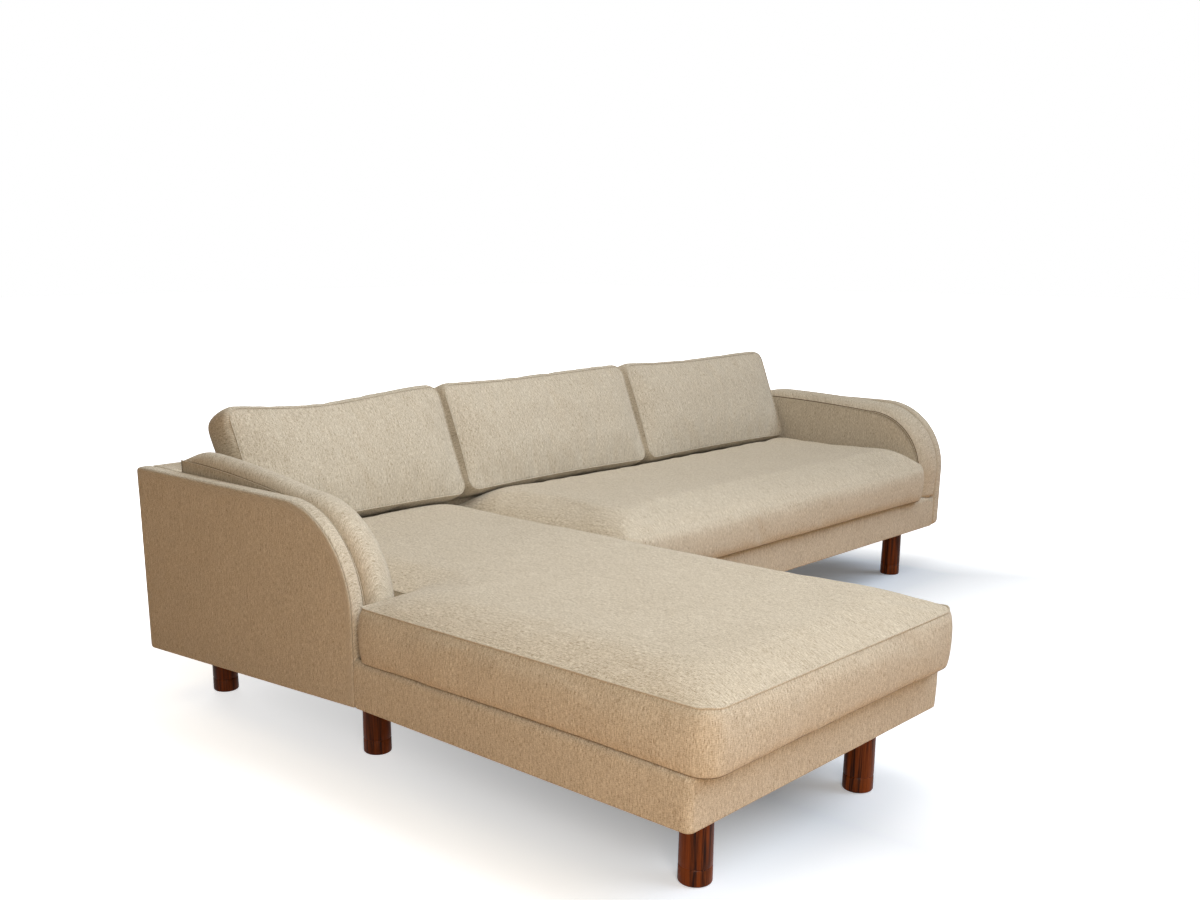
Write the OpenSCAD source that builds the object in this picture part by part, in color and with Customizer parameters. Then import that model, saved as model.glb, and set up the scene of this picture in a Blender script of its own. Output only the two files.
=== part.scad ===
// Sectional sofa with a chaise on the left, seen from the front
// Two modules that hook together, five loose cushions, nine turned legs
// X runs along the sofa, the front faces -Y, Z is up, all sizes in millimetres

/* [Overall] */
// Width over both arms
overall_w = 2750; // [2500:10:3200]
// Depth from the front of the chaise base to the back
base_depth = 1815; // [1700:5:2100]
// Width of the chaise base
chaise_w = 912; // [820:2:1050]
// How far the chaise base runs ahead of the sofa front
chaise_ahead = 935; // [800:5:1100]

/* [Base] */
// Height of the base's underside above the floor
base_z = 182; // [120:2:240]
// Height of the upholstered base
base_h = 111; // [90:1:140]
// Thickness of the padding and fabric over the frame
padding_t = 12; // [8:1:16]
// Thickness of the frame rails
rail_t = 28; // [22:1:34]
// Thickness of the padded deck under the seat cushions
deck_t = 15; // [10:1:20]
// Thickness of the webbing straps
web_t = 3; // [2:0.5:5]
// Width of a webbing strap
strap_w = 50; // [40:1:60]
// Space between two straps
strap_gap = 62; // [50:1:90]
// Thickness of the dust cover under the frame
dust_t = 2; // [1:0.5:3]
// Gap between the cross rails and the webbing
sag_room = 16; // [10:1:24]

/* [Arms] */
// Height of the arm panels
arm_h = 622; // [560:2:700]
// Radius of the rounded front corner of an arm panel
arm_radius = 235; // [180:5:280]
// How far the panels reach lower at the back than at the front
arm_drop = 52; // [20:2:80]
// Thickness of the plywood board in an arm
arm_board_t = 19; // [15:1:25]
// Width of the bolster inside each arm panel
bolster_w = 97; // [80:1:120]
// Height of a bolster's crown over its seams, on the front curve
bolster_crown = 32; // [20:1:45]
// How far the outer seam lies under the panel's outline on the curve
outer_seam_sink = 12; // [8:1:20]
// How far the inner seam lies under the panel's outline on the curve
inner_seam_sink = 33; // [20:1:45]
// How far the inner seam lies under the panel's top at the back
inner_seam_low = 10; // [4:1:20]
// Rise of the left bolster's outer seam above the panel at the back
left_bolster_rise = 28; // [0:1:35]
// Rise of the right bolster's outer seam above the panel at the back
right_bolster_rise = 2; // [0:1:35]
// Height that the left bolster's crown gains towards the back
left_bolster_puff = 16; // [-15:1:18]
// Height that the right bolster's crown gains towards the back
right_bolster_puff = -9; // [-15:1:18]
// How far a bolster's rounded end stays ahead of the inside back's top
bolster_end = 46; // [20:1:60]
// Length over which a bolster's rounded end rises to its crown
bolster_nose = 110; // [60:5:140]
// How far the bolster stands in front of the panel
bolster_front = 10; // [4:1:16]
// Diameter of the bolts that hold an arm to the base
arm_bolt_d = 8; // [6:1:10]

/* [Back] */
// Height of the back frame
back_h = 622; // [560:2:690]
// Thickness of the plywood back board
back_board_t = 19; // [15:1:25]
// Thickness of the inside back padding along its top
inside_back_t = 75; // [55:1:95]
// Lean of the inside back and the back cushions, in degrees
lean = 22; // [12:1:26]

/* [Seat cushions] */
// Thickness of a seat cushion at its edge seam
seat_t = 122; // [100:1:150]
// Height of the bench cushion's crown over its seam
bench_crown = 46; // [25:1:60]
// Height of the chaise cushion's crown over its seam
chaise_crown = 37; // [25:1:60]
// How far the chaise cushion stands out over its base
seat_overhang = 45; // [20:1:60]
// How far the bench cushion stands out over its base
bench_overhang = 28; // [12:1:40]
// How far a seat cushion's sides bulge past its seams
seat_bulge = 7; // [4:1:12]
// Corner radius of a seat cushion
seat_corner_r = 42; // [30:1:60]
// Width of the band over which the crown rises
crown_band = 165; // [120:5:220]

/* [Back cushions] */
// Height of a back cushion along its lean
back_cushion_h = 348; // [300:2:400]
// Thickness of a back cushion at its edge seam
back_cushion_t = 113; // [90:1:130]
// Height of the crown on a back cushion's face
back_crown = 34; // [20:1:45]
// How far a back cushion's sides are drawn in between its corners
side_draw = 6; // [3:1:10]
// Corner radius of a back cushion
back_corner_r = 34; // [25:1:45]
// How far the left back cushion stays off the left bolster
left_end_gap = 38; // [6:1:60]
// How far the right back cushion stays off the right bolster
right_end_gap = 12; // [6:1:40]

/* [Legs] */
// Diameter of a leg at its top
leg_d = 65; // [50:1:80]
// How much wider a leg is at its foot
leg_flare = 3; // [0:0.5:6]
// Distance from the outer sides to a leg's centre
leg_inset_x = 155; // [140:1:180]
// Distance from a front edge to a leg's centre
leg_inset_front = 98; // [90:1:125]
// Distance from the back to a rear leg's centre
leg_inset_back = 111; // [105:1:150]
// Distance from the arm's front to the leg beneath it
arm_leg_inset = 115; // [100:1:150]
// Height of the turned ring on a leg
ring_z = 37; // [25:1:60]
// Width and depth of the turned ring
ring_size = 2.4; // [1:0.2:4]
// Rounding of a leg's lower edge
leg_round = 6; // [3:1:9]
// Diameter of the bolt that holds a leg
leg_bolt_d = 8; // [6:1:10]
// Length of the bolt that holds a leg
leg_bolt_l = 84; // [60:2:110]
// Diameter of the felt glide in a leg's foot
glide_d = 34; // [20:1:44]
// Thickness of the felt glide
glide_t = 4; // [2:0.5:6]

/* [Connectors] */
// Width of a connector between the modules
hook_w = 60; // [40:2:90]
// Height of a connector
hook_h = 56; // [44:1:70]
// Thickness of the steel in a connector
steel_t = 3; // [2:0.5:4]

/* [Clearances] */
// Gap between the two modules
module_gap = 1; // [0.6:0.1:3]
// Gap between loose cushions and what stands beside them
cushion_gap = 1.5; // [0.6:0.1:3]
// Gap between two neighbouring back cushions
back_cushion_gap = 4; // [2:0.5:8]
// Gap between a cushion and what carries it
rest_gap = 0.3; // [0.3:0.1:0.6]
// Gap around a board in its cover, and around a bolt in its hole
fit_gap = 0.3; // [0.2:0.1:0.5]

/* [Hidden] */

// Colours of the fabric, the frame and the fittings
fabric_c = "#c2aa84";
lining_c = "#3a3835";
pine_c = "#d2ac76";
ply_c = "#c49a62";
walnut_c = "#4a2413";
steel_c = "#9a9ea3";
felt_c = "#5c5a56";
strap_c = "#8a7a5c";

// Places along X
left_x = -overall_w / 2;
seam_x = left_x + chaise_w;
arm_t = arm_board_t + 2 * padding_t;
panel_in_x = left_x + arm_t;
bolster_in_x = panel_in_x + bolster_w;
chaise_end_x = seam_x - module_gap / 2;
sofa_end_x = seam_x + module_gap / 2;

// Places along Y
back_y = (base_depth + seat_overhang) / 2;
chaise_front_y = back_y - base_depth;
arm_front_y = chaise_front_y + chaise_ahead;
back_board_y = back_y - padding_t - back_board_t;
back_rail_y = back_board_y - rail_t;
inside_top_y = back_board_y - inside_back_t;

// Heights
rail_z = base_z + dust_t;
deck_z = base_z + base_h;
web_z = deck_z - deck_t - web_t;
rail_h = web_z - rail_z;
cross_h = rail_h - sag_room;
seat_seam_z = deck_z + rest_gap + seat_t;
back_low_z = base_z - arm_drop;

// The sloping inside back meets the seat cushions' rear at the seam's height
function slope_y(z) = inside_top_y - (back_h - z) * tan(lean);
inside_low_y = slope_y(seat_seam_z);
seat_rear_y = inside_low_y - cushion_gap;

// Rails on both sides of each module
left_rail_x = left_x + padding_t;
right_rail_x = chaise_end_x - padding_t - rail_t;
sofa_rail_x = sofa_end_x + padding_t;
cross_mid_y = (chaise_front_y + arm_front_y) / 2;

// Legs: X and Y of each centre
chaise_front_left = [left_x + leg_inset_x, chaise_front_y + leg_inset_front];
chaise_front_right = [seam_x - leg_inset_x, chaise_front_y + leg_inset_front];
arm_front = [left_x + leg_inset_x, arm_front_y + arm_leg_inset];
arm_rear = [left_x + leg_inset_x, back_y - leg_inset_back];
chaise_rear_right = [seam_x - leg_inset_x, back_y - leg_inset_back];
sofa_front_left = [seam_x + leg_inset_x, arm_front_y + leg_inset_front];
sofa_front_right = [-left_x - leg_inset_x, arm_front_y + leg_inset_front];
sofa_rear_left = [seam_x + leg_inset_x, back_y - leg_inset_back];
sofa_rear_right = [-left_x - leg_inset_x, back_y - leg_inset_back];
chaise_legs = [chaise_front_left, chaise_front_right, arm_front, arm_rear,
  chaise_rear_right];
sofa_legs = [sofa_front_left, sofa_front_right, sofa_rear_left,
  sofa_rear_right];
leg_top = rail_z;
block_margin = 14;
block_reach = leg_d / 2 + block_margin;

// Connectors between the modules: their places, and the socket's slot
hook_y = [arm_front_y + 0.25 * (back_y - arm_front_y),
  arm_front_y + 0.75 * (back_y - arm_front_y)];
hook_z = rail_z + (rail_h - hook_h) / 2;
socket_slot = steel_t + 2 * fit_gap;
socket_x = sofa_rail_x - 2 * steel_t - socket_slot;

// Cushion outlines
front_cushion_y = chaise_front_y - seat_overhang;
notch_x = bolster_in_x + cushion_gap;
bolster_reach = bolster_front + max([for (u = [0:0.05:1]) curve_over(u)]);
notch_y = arm_front_y - bolster_reach - cushion_gap;
middle_seam_x = (seam_x - bolster_in_x) / 2;
heart_ahead = 60;
spacing = 118;
back_spacing = 74;
arc_steps = 5;

// Smallest helpers
function unit(v) = v / norm(v);
function clamp01(t) = max(0, min(1, t));

// A box between two corners
module box(a, b) {
  translate(a) cube(b - a);
}

// A profile of Y and Z points, drawn out along X from x0 to x1
module along_x(x0, x1) {
  translate([x0, 0, 0]) rotate([90, 0, 90]) linear_extrude(x1 - x0) children();
}

// Arc that rounds corner p between its neighbours a and b
function corner_arc(a, p, b, r) =
  let (u = unit(a - p), v = unit(b - p), half = acos(u * v) / 2,
    c = p + unit(u + v) * r / sin(half),
    s = p + u * r / tan(half) - c, e = p + v * r / tan(half) - c,
    turn = 180 - 2 * half)
  [for (k = [0:arc_steps]) let (t = k / arc_steps)
    c + (s * sin((1 - t) * turn) + e * sin(t * turn)) / sin(turn)];

// Outline with rounded corners, its straight sides cut into equal steps
function rounded(corners, radii, cuts) =
  let (n = len(corners))
  [for (i = [0:n - 1])
    let (arc = corner_arc(corners[(i + n - 1) % n], corners[i],
        corners[(i + 1) % n], radii[i]),
      next = corner_arc(corners[i], corners[(i + 1) % n],
        corners[(i + 2) % n], radii[(i + 1) % n])[0],
      last = arc[arc_steps])
    each concat(arc, [for (k = [1:cuts[i] - 1]) last + (next - last) * k / cuts[i]])];

// Number of steps on each side of an outline
function side_cuts(corners, step) =
  let (n = len(corners))
  [for (i = [0:n - 1]) max(2, round(norm(corners[(i + 1) % n] - corners[i]) / step))];

// Triangles of a closed form made of equal rings between two end points
function ring_faces(n, rings) = concat(
  [for (j = [0:n - 1]) [0, 1 + j, 1 + (j + 1) % n]],
  [for (k = [0:rings - 2], j = [0:n - 1])
    let (a = 1 + k * n + j, b = 1 + k * n + (j + 1) % n)
    each [[a, a + n, b + n], [a, b + n, b]]],
  [for (j = [0:n - 1])
    [1 + rings * n, 1 + (rings - 1) * n + (j + 1) % n, 1 + (rings - 1) * n + j]]);

module ringed(first, rings, last) {
  polyhedron(concat([first], [for (r = rings) each r], [last]),
    ring_faces(len(rings[0]), len(rings)));
}

// Rise of a crown at distance d inside an edge, from 0 to 1
function rise(d) = 1 - pow(1 - clamp01(d / crown_band), 2.6);

// Outline of the chaise cushion, which steps in beside the left bolster
function chaise_corners(i) = [[left_x + i, front_cushion_y + i],
  [seam_x - cushion_gap - i, front_cushion_y + i],
  [seam_x - cushion_gap - i, seat_rear_y - i],
  [notch_x + i, seat_rear_y - i], [notch_x + i, notch_y - i],
  [left_x + i, notch_y - i]];
function chaise_radii(i) = [for (k = [0:5])
  k == 4 ? seat_corner_r / 2 + i : max(4, seat_corner_r - i / 2)];
function chaise_rise(p) =
  rise(p.x - left_x) * rise(seam_x - cushion_gap - p.x)
  * rise(p.y - front_cushion_y) * rise(seat_rear_y - p.y)
  * rise(norm([max(0, p.x - notch_x), max(0, notch_y - p.y)]));

// Outline of the bench cushion over the two sofa seats
function bench_corners(i) = [[seam_x + cushion_gap + i, arm_front_y - bench_overhang + i],
  [-bolster_in_x - cushion_gap - i, arm_front_y - bench_overhang + i],
  [-bolster_in_x - cushion_gap - i, seat_rear_y - i],
  [seam_x + cushion_gap + i, seat_rear_y - i]];
function bench_radii(i) = [for (k = [0:3]) max(4, seat_corner_r - i / 2)];
function bench_rise(p) =
  rise(p.x - seam_x) * rise(-bolster_in_x - p.x)
  * rise(p.y - arm_front_y + bench_overhang) * rise(seat_rear_y - p.y);

// Sides of a seat cushion: how far in, and how high as a share of seat_t
seat_sides = [[1.9, 0], [0.6, 0.14], [0, 0.45], [0.35, 0.8], [1, 1]];
// Rings on top: how far in from the outline, then shares towards the middle
seat_insets = [16, 34, 62];
seat_shares = [0.78, 0.55, 0.28];

// Rings of a seat cushion, from its foot to its crown
function seat_rings(outlines, tops, rises, crown) = concat(
  [for (k = [0:len(seat_sides) - 1])
    [for (p = outlines[k])
      [p.x, p.y, deck_z + rest_gap + seat_t * seat_sides[k][1]]]],
  [for (k = [0:len(tops) - 1])
    [for (j = [0:len(tops[k]) - 1])
      [tops[k][j].x, tops[k][j].y, seat_seam_z + crown * rises[k][j]]]]);

function toward(outline, heart, share) =
  [for (p = outline) heart + (p - heart) * share];

module chaise_cushion_form() {
  cuts = side_cuts(chaise_corners(0), spacing);
  outlines = [for (s = seat_sides)
    rounded(chaise_corners(s[0] * seat_bulge), chaise_radii(s[0] * seat_bulge), cuts)];
  insets = [for (i = seat_insets) rounded(chaise_corners(i), chaise_radii(i), cuts)];
  heart = [(notch_x + seam_x) / 2, notch_y - heart_ahead];
  tops = concat(insets, [for (s = seat_shares) toward(insets[2], heart, s)]);
  rises = [for (t = tops) [for (p = t) chaise_rise(p)]];
  ringed([heart.x, heart.y, deck_z + rest_gap],
    seat_rings(outlines, tops, rises, chaise_crown),
    [heart.x, heart.y, seat_seam_z + chaise_crown * chaise_rise(heart)]);
}

module bench_cushion_form() {
  cuts = side_cuts(bench_corners(0), spacing);
  outlines = [for (s = seat_sides)
    rounded(bench_corners(s[0] * seat_bulge), bench_radii(s[0] * seat_bulge), cuts)];
  insets = [for (i = seat_insets) rounded(bench_corners(i), bench_radii(i), cuts)];
  heart = (bench_corners(0)[0] + bench_corners(0)[2]) / 2;
  tops = concat(insets, [for (s = seat_shares) toward(insets[2], heart, s)]);
  rises = [for (t = tops) [for (p = t) bench_rise(p)]];
  ringed([heart.x, heart.y, deck_z + rest_gap],
    seat_rings(outlines, tops, rises, bench_crown),
    [heart.x, heart.y, seat_seam_z + bench_crown * bench_rise(heart)]);
}

// A back cushion of width w, flat behind and crowned in front
// It is drawn lying down: X along the width, Y along the lean, Z to the front
back_sides = [[5, 0], [1, 0.12], [0, 0.5], [1, 0.88], [4, 1]];
back_insets = [14, 34];
back_shares = [0.7, 0.35];
function back_corners(w, i) = [[i, i], [w - i, i], [w - i, back_cushion_h - i],
  [i, back_cushion_h - i]];
// Sides curve in a little between the corners
function drawn(p, w) = let (u = 2 * p.x / w - 1, v = 2 * p.y / back_cushion_h - 1)
  [w / 2 * (1 + u) - side_draw * u * (1 - v * v),
    back_cushion_h / 2 * (1 + v) - side_draw * v * (1 - u * u)];
function back_outline(w, i, cuts) = [for (p = rounded(back_corners(w, i),
    [for (k = [0:3]) max(4, back_corner_r - i / 2)], cuts)) drawn(p, w)];
function back_rise(p, w) = let (u = abs(2 * p.x / w - 1), v = abs(2 * p.y / back_cushion_h - 1))
  (1 - pow(clamp01(u), 5)) * (1 - pow(clamp01(v), 3));

// How far a back cushion's rear edge lies over the seam of a seat cushion, so
// that its leaning underside just clears the seat cushion's crown
function seat_lift(crown) = rest_gap + max([for (t = [0:2:back_cushion_t])
  crown * rise(t * cos(lean)) - t * sin(lean)]);

module back_cushion_form(x, w, lift) {
  cuts = side_cuts(back_corners(w, 0), back_spacing);
  middle = [w / 2, back_cushion_h / 2];
  sides = [for (s = back_sides)
    [for (p = back_outline(w, s[0], cuts)) [p.x, p.y, back_cushion_t * s[1]]]];
  insets = [for (i = back_insets) back_outline(w, i, cuts)];
  flats = concat(insets, [for (s = back_shares) toward(insets[1], middle, s)]);
  faces = [for (f = flats)
    [for (p = f) [p.x, p.y, back_cushion_t + back_crown * back_rise(p, w)]]];
  rear_z = seat_seam_z + lift;
  translate([x, slope_y(rear_z) - rest_gap / cos(lean), rear_z]) rotate([90 - lean, 0, 0])
    ringed([middle.x, middle.y, 0], concat(sides, faces),
      [middle.x, middle.y, back_cushion_t + back_crown]);
}

// Side outline of an arm panel, drawn in by an inset
module arm_outline(inset) {
  top = arm_h - inset;
  front = arm_front_y + inset;
  rear = back_y - inset;
  r = arm_radius - inset;
  low = base_z + inset;
  polygon(concat([[front, low], [rear, low - arm_drop], [rear, top]],
    [for (a = [90:4.5:180]) [front + r + r * cos(a), top - r + r * sin(a)]]));
}

// The arm bolts stand clear of the leg blocks, the middle one half-way
bolt_margin = 20;
first_bolt_y = arm_front_y + max(arm_leg_inset, leg_inset_front) + block_reach + bolt_margin;
last_bolt_y = back_y - leg_inset_back - block_reach - bolt_margin;
arm_bolt_y = [first_bolt_y, (first_bolt_y + last_bolt_y) / 2, last_bolt_y];
arm_bolt_z = rail_z + rail_h / 2;
bolt_head = 5;

// Holes for the arm bolts, from the board through the lining and the rail
module arm_bolt_holes(extra) {
  for (y = arm_bolt_y)
    translate([left_x + padding_t + arm_board_t / 2, y, arm_bolt_z])
      rotate([0, 90, 0])
        cylinder(d = arm_bolt_d + 2 * extra, h = arm_board_t / 2 + padding_t + rail_t + extra, $fn = 24);
}

module arm_board_form() {
  difference() {
    along_x(left_x + padding_t, left_x + padding_t + arm_board_t) arm_outline(padding_t);
    arm_bolt_holes(fit_gap);
  }
}

module arm_cover_form() {
  difference() {
    along_x(left_x, panel_in_x) arm_outline(0);
    along_x(left_x + padding_t, left_x + padding_t + arm_board_t)
      arm_outline(padding_t - fit_gap);
    arm_bolt_holes(fit_gap);
  }
}

module arm_bolts_form() {
  for (y = arm_bolt_y)
    translate([left_x + padding_t + arm_board_t / 2 + fit_gap, y, arm_bolt_z])
      rotate([0, 90, 0]) {
        cylinder(d = arm_bolt_d, h = arm_board_t / 2 + padding_t + rail_t - fit_gap, $fn = 24);
        translate([0, 0, arm_board_t / 2 + padding_t + rail_t - fit_gap])
          cylinder(d = 2 * arm_bolt_d, h = bolt_head, $fn = 24);
      }
}

// Bolster: sections run up its rear end, along the arm, round the front curve
// and down to the deck, each a row of points from the panel to the seat
bolster_rows = 9;
nose_steps = 4;
straight_steps = 6;
curve_steps = 13;
drop_steps = 4;
// Share of the way from the seams to the crown, across the bolster
function dome(u) = pow(1 - pow(abs(2 * u - 1), 2.4), 0.62);
function mix(a, b, t) = a + (b - a) * t;
// Height over the panel's outline: on the front curve, and along the arm
function curve_over(u) =
  -mix(outer_seam_sink, inner_seam_sink, u) + bolster_crown * dome(u);
function rear_over(u, seam_rise, puff, cap) =
  mix(seam_rise, -inner_seam_low, u) + (bolster_crown + puff) * dome(u) * cap;
curve_y = arm_front_y + arm_radius;
curve_z = arm_h - arm_radius;
bolster_low_y = inside_low_y - rest_gap;
nose_y = inside_top_y - bolster_end;
nose_z = back_h - (bolster_end - rest_gap) / tan(lean);

// Y and Z of a point along the arm, a share s of the way to the front curve
function arm_point(s, u, seam_rise, puff) =
  let (y = mix(nose_y, curve_y, s), t = clamp01((nose_y - y) / bolster_nose),
    cap = pow(1 - (1 - t) * (1 - t), 0.75))
  [y, arm_h + mix(rear_over(u, seam_rise, puff, cap), curve_over(u), pow(s, 1.8))];
function curve_point(s, u) =
  let (turn = 90 * (1 + s), radius = arm_radius + curve_over(u) + bolster_front * s)
  [curve_y + radius * cos(turn), curve_z + radius * sin(turn)];
function drop_point(s, u) =
  [arm_front_y - curve_over(u) - bolster_front * (1 - s / 2), mix(curve_z, deck_z, s)];

module bolster_form(seam_rise, puff) {
  m = bolster_rows;
  us = [for (j = [0:m - 1]) (1 - cos(180 * j / (m - 1))) / 2];
  nose = bolster_nose / (nose_y - curve_y);
  sections = concat(
    [[for (u = us) [bolster_low_y, deck_z]], [for (u = us) [bolster_low_y, seat_seam_z]],
      [for (u = us) [nose_y, nose_z]]],
    [for (k = [0:nose_steps - 1]) [for (u = us)
      arm_point(nose * pow(k / nose_steps, 2), u, seam_rise, puff)]],
    [for (k = [0:straight_steps - 1]) [for (u = us)
      arm_point(mix(nose, 1, k / straight_steps), u, seam_rise, puff)]],
    [for (k = [0:curve_steps - 1]) [for (u = us) curve_point(k / curve_steps, u)]],
    [for (k = [0:drop_steps]) [for (u = us) drop_point(k / drop_steps, u)]]);
  n = len(sections);
  points = concat([for (row = sections) for (j = [0:m - 1])
      [panel_in_x + bolster_w * us[j], row[j].x, row[j].y]],
    [for (x = [panel_in_x, bolster_in_x]) [x, curve_y + arm_radius / 2, curve_z]]);
  polyhedron(points, [for (i = [0:n - 1]) let (a = i * m, b = (i + 1) % n * m)
    each concat([[n * m, a, b], [n * m + 1, b + m - 1, a + m - 1]],
      [for (j = [0:m - 2]) each [[a + j, a + j + 1, b + j + 1], [a + j, b + j + 1, b + j]]])]);
}

// Rail along a box, plain timber
module rail(a, b) {
  color(pine_c) box([a.x, a.y, rail_z], [b.x, b.y, rail_z + rail_h]);
}

// A block that joins two rails over a leg, bored for the leg's bolt
module leg_block(leg, x0, x1, y0, y1) {
  difference() {
    box([x0, y0, rail_z], [x1, y1, rail_z + cross_h]);
    translate([leg.x, leg.y, rail_z - 1])
      cylinder(d = leg_bolt_d + 2 * fit_gap, h = leg_bolt_l / 2 + 2, $fn = 24);
  }
}

// Bolt half in the block and half in the leg
module leg_bolt(leg) {
  translate([leg.x, leg.y, leg_top - leg_bolt_l / 2])
    cylinder(d = leg_bolt_d, h = leg_bolt_l, $fn = 24);
}

// Turned leg, slightly wider below, with a rounded foot, a fine ring, a bolt hole and a felt recess
module leg(at) {
  r = (leg_d + leg_flare) / 2;
  ring_r = r - leg_flare / 2 * ring_z / leg_top;
  hole_z = leg_top - leg_bolt_l / 2 - fit_gap;
  foot = [for (a = [270:15:360])
    [r - leg_round + leg_round * cos(a), leg_round + leg_round * sin(a)]];
  cut = ring_size / 2;
  ring = [[ring_r, ring_z - cut], [ring_r - cut, ring_z], [ring_r, ring_z + cut]];
  color(walnut_c) translate([at.x, at.y, 0]) difference() {
    rotate_extrude($fn = 72) polygon(concat([[0, 0]], foot, ring, [[leg_d / 2, leg_top], [0, leg_top]]));
    translate([0, 0, hole_z])
      cylinder(d = leg_bolt_d + 2 * fit_gap, h = leg_bolt_l, $fn = 24);
    translate([0, 0, -1]) cylinder(d = glide_d + 2 * fit_gap, h = glide_t + fit_gap + 1, $fn = 48);
  }
}

module glides(legs) {
  color(felt_c) for (at = legs) translate([at.x, at.y, 0]) cylinder(d = glide_d, h = glide_t, $fn = 48);
}

// Plan of the chaise frame inside its borders, and of the sofa frame
module chaise_plan() {
  polygon([[left_x + padding_t, chaise_front_y + padding_t],
    [chaise_end_x - padding_t, chaise_front_y + padding_t],
    [chaise_end_x - padding_t, arm_front_y], [chaise_end_x, arm_front_y],
    [chaise_end_x, back_board_y], [panel_in_x, back_board_y],
    [panel_in_x, arm_front_y], [left_x + padding_t, arm_front_y]]);
}

module sofa_plan(from_x) {
  polygon([[from_x, arm_front_y + padding_t], [-panel_in_x, arm_front_y + padding_t],
    [-panel_in_x, back_board_y], [from_x, back_board_y]]);
}

module deck() {
  color(lining_c) translate([0, 0, deck_z - deck_t]) linear_extrude(deck_t) children();
}

module dust_cover(legs) {
  color(lining_c) difference() {
    translate([0, 0, base_z]) linear_extrude(dust_t) children();
    for (at = legs) translate([at.x, at.y, base_z - 1])
      cylinder(d = leg_d + 2 * fit_gap, h = dust_t + 2, $fn = 48);
  }
}

// Padded border on the face of a rail
module border(a, b) {
  color(fabric_c) box([a.x, a.y, base_z], [b.x, b.y, deck_z]);
}

// Back pieces between two places along X
module back_board_form(x0, x1) {
  color(ply_c) box([x0, back_board_y, back_low_z + padding_t],
    [x1, back_board_y + back_board_t, back_h - padding_t]);
}

module outside_back_form(x0, x1) {
  color(fabric_c) along_x(x0, x1) polygon([[back_board_y, back_low_z],
    [back_y, back_low_z], [back_y, back_h], [back_board_y, back_h],
    [back_board_y, back_h - padding_t], [back_y - padding_t, back_h - padding_t],
    [back_y - padding_t, back_low_z + padding_t], [back_board_y, back_low_z + padding_t]]);
}

// The inside back leans from the seat cushions' seam up to its top
module inside_back_form(x0, x1) {
  color(fabric_c) along_x(x0, x1) polygon([[inside_low_y, deck_z], [back_board_y, deck_z],
    [back_board_y, back_h], [inside_top_y, back_h], [inside_low_y, seat_seam_z]]);
}

// Socket on the sofa's end rail: a steel block whose slot is open below
module socket(y) {
  low = hook_z + steel_t + fit_gap;
  top = hook_z + hook_h + fit_gap;
  difference() {
    box([socket_x, y - hook_w / 2, low], [sofa_rail_x, y + hook_w / 2, top + steel_t]);
    box([socket_x + steel_t, y - hook_w / 2 + steel_t, low - 1],
      [socket_x + steel_t + socket_slot, y + hook_w / 2 - steel_t, top]);
  }
}

// Hook on the chaise's side rail: its tongue stands up into the socket
module hook(y) {
  plate_x = chaise_end_x - padding_t;
  tongue_x = socket_x + steel_t + fit_gap;
  half = hook_w / 2 - steel_t - fit_gap;
  union() {
    box([plate_x, y - half, hook_z], [plate_x + steel_t, y + half, hook_z + hook_h]);
    box([plate_x, y - half, hook_z], [tongue_x + steel_t, y + half, hook_z + steel_t]);
    box([tongue_x, y - half, hook_z], [tongue_x + steel_t, y + half, hook_z + hook_h]);
  }
}

// Chaise frame
module chaise_front_rail() {
  rail([left_rail_x, chaise_front_y + padding_t],
    [chaise_end_x - padding_t, chaise_front_y + padding_t + rail_t]);
}

module chaise_left_rail() {
  rail([left_rail_x, chaise_front_y + padding_t + rail_t],
    [left_rail_x + rail_t, arm_front_y - rail_t]);
}

module chaise_arm_rail() {
  color(pine_c) difference() {
    box([panel_in_x, arm_front_y, rail_z], [panel_in_x + rail_t, back_rail_y, rail_z + rail_h]);
    arm_bolt_holes(fit_gap);
  }
}

module chaise_right_rail() {
  rail([right_rail_x, chaise_front_y + padding_t + rail_t],
    [right_rail_x + rail_t, back_rail_y]);
}

module chaise_back_rail() {
  rail([panel_in_x, back_rail_y], [right_rail_x + rail_t, back_board_y]);
}

module chaise_cross_rails() {
  color(pine_c) {
    box([left_rail_x + rail_t, cross_mid_y, rail_z],
      [right_rail_x, cross_mid_y + rail_t, rail_z + cross_h]);
    box([left_rail_x, arm_front_y - rail_t, rail_z],
      [right_rail_x, arm_front_y, rail_z + cross_h]);
  }
}

module chaise_leg_blocks() {
  front = chaise_front_y + padding_t + rail_t;
  left = left_rail_x + rail_t;
  arm_side = panel_in_x + rail_t;
  color(pine_c) {
    leg_block(chaise_front_left, left, chaise_front_left.x + block_reach,
      front, chaise_front_left.y + block_reach);
    leg_block(chaise_front_right, chaise_front_right.x - block_reach, right_rail_x,
      front, chaise_front_right.y + block_reach);
    leg_block(arm_front, arm_side, arm_front.x + block_reach,
      arm_front.y - block_reach, arm_front.y + block_reach);
    leg_block(arm_rear, arm_side, arm_rear.x + block_reach,
      arm_rear.y - block_reach, back_rail_y);
    leg_block(chaise_rear_right, chaise_rear_right.x - block_reach, right_rail_x,
      chaise_rear_right.y - block_reach, back_rail_y);
  }
}

module chaise_leg_bolts() {
  color(steel_c) for (at = chaise_legs) leg_bolt(at);
}

module chaise_webbing() {
  first = chaise_front_y + padding_t + rail_t;
  step = strap_w + strap_gap;
  count = floor((back_rail_y - first) / step);
  color(strap_c) for (k = [0:count - 1]) {
    y = first + strap_gap / 2 + k * step;
    x = y + strap_w < arm_front_y - rail_t ? left_rail_x : panel_in_x;
    box([x, y, web_z], [right_rail_x + rail_t, y + strap_w, web_z + web_t]);
  }
}

module chaise_deck() { deck() chaise_plan(); }

module chaise_dust_cover() { dust_cover(chaise_legs) chaise_plan(); }

module chaise_front_border() {
  border([left_x, chaise_front_y], [chaise_end_x, chaise_front_y + padding_t]);
}

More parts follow.
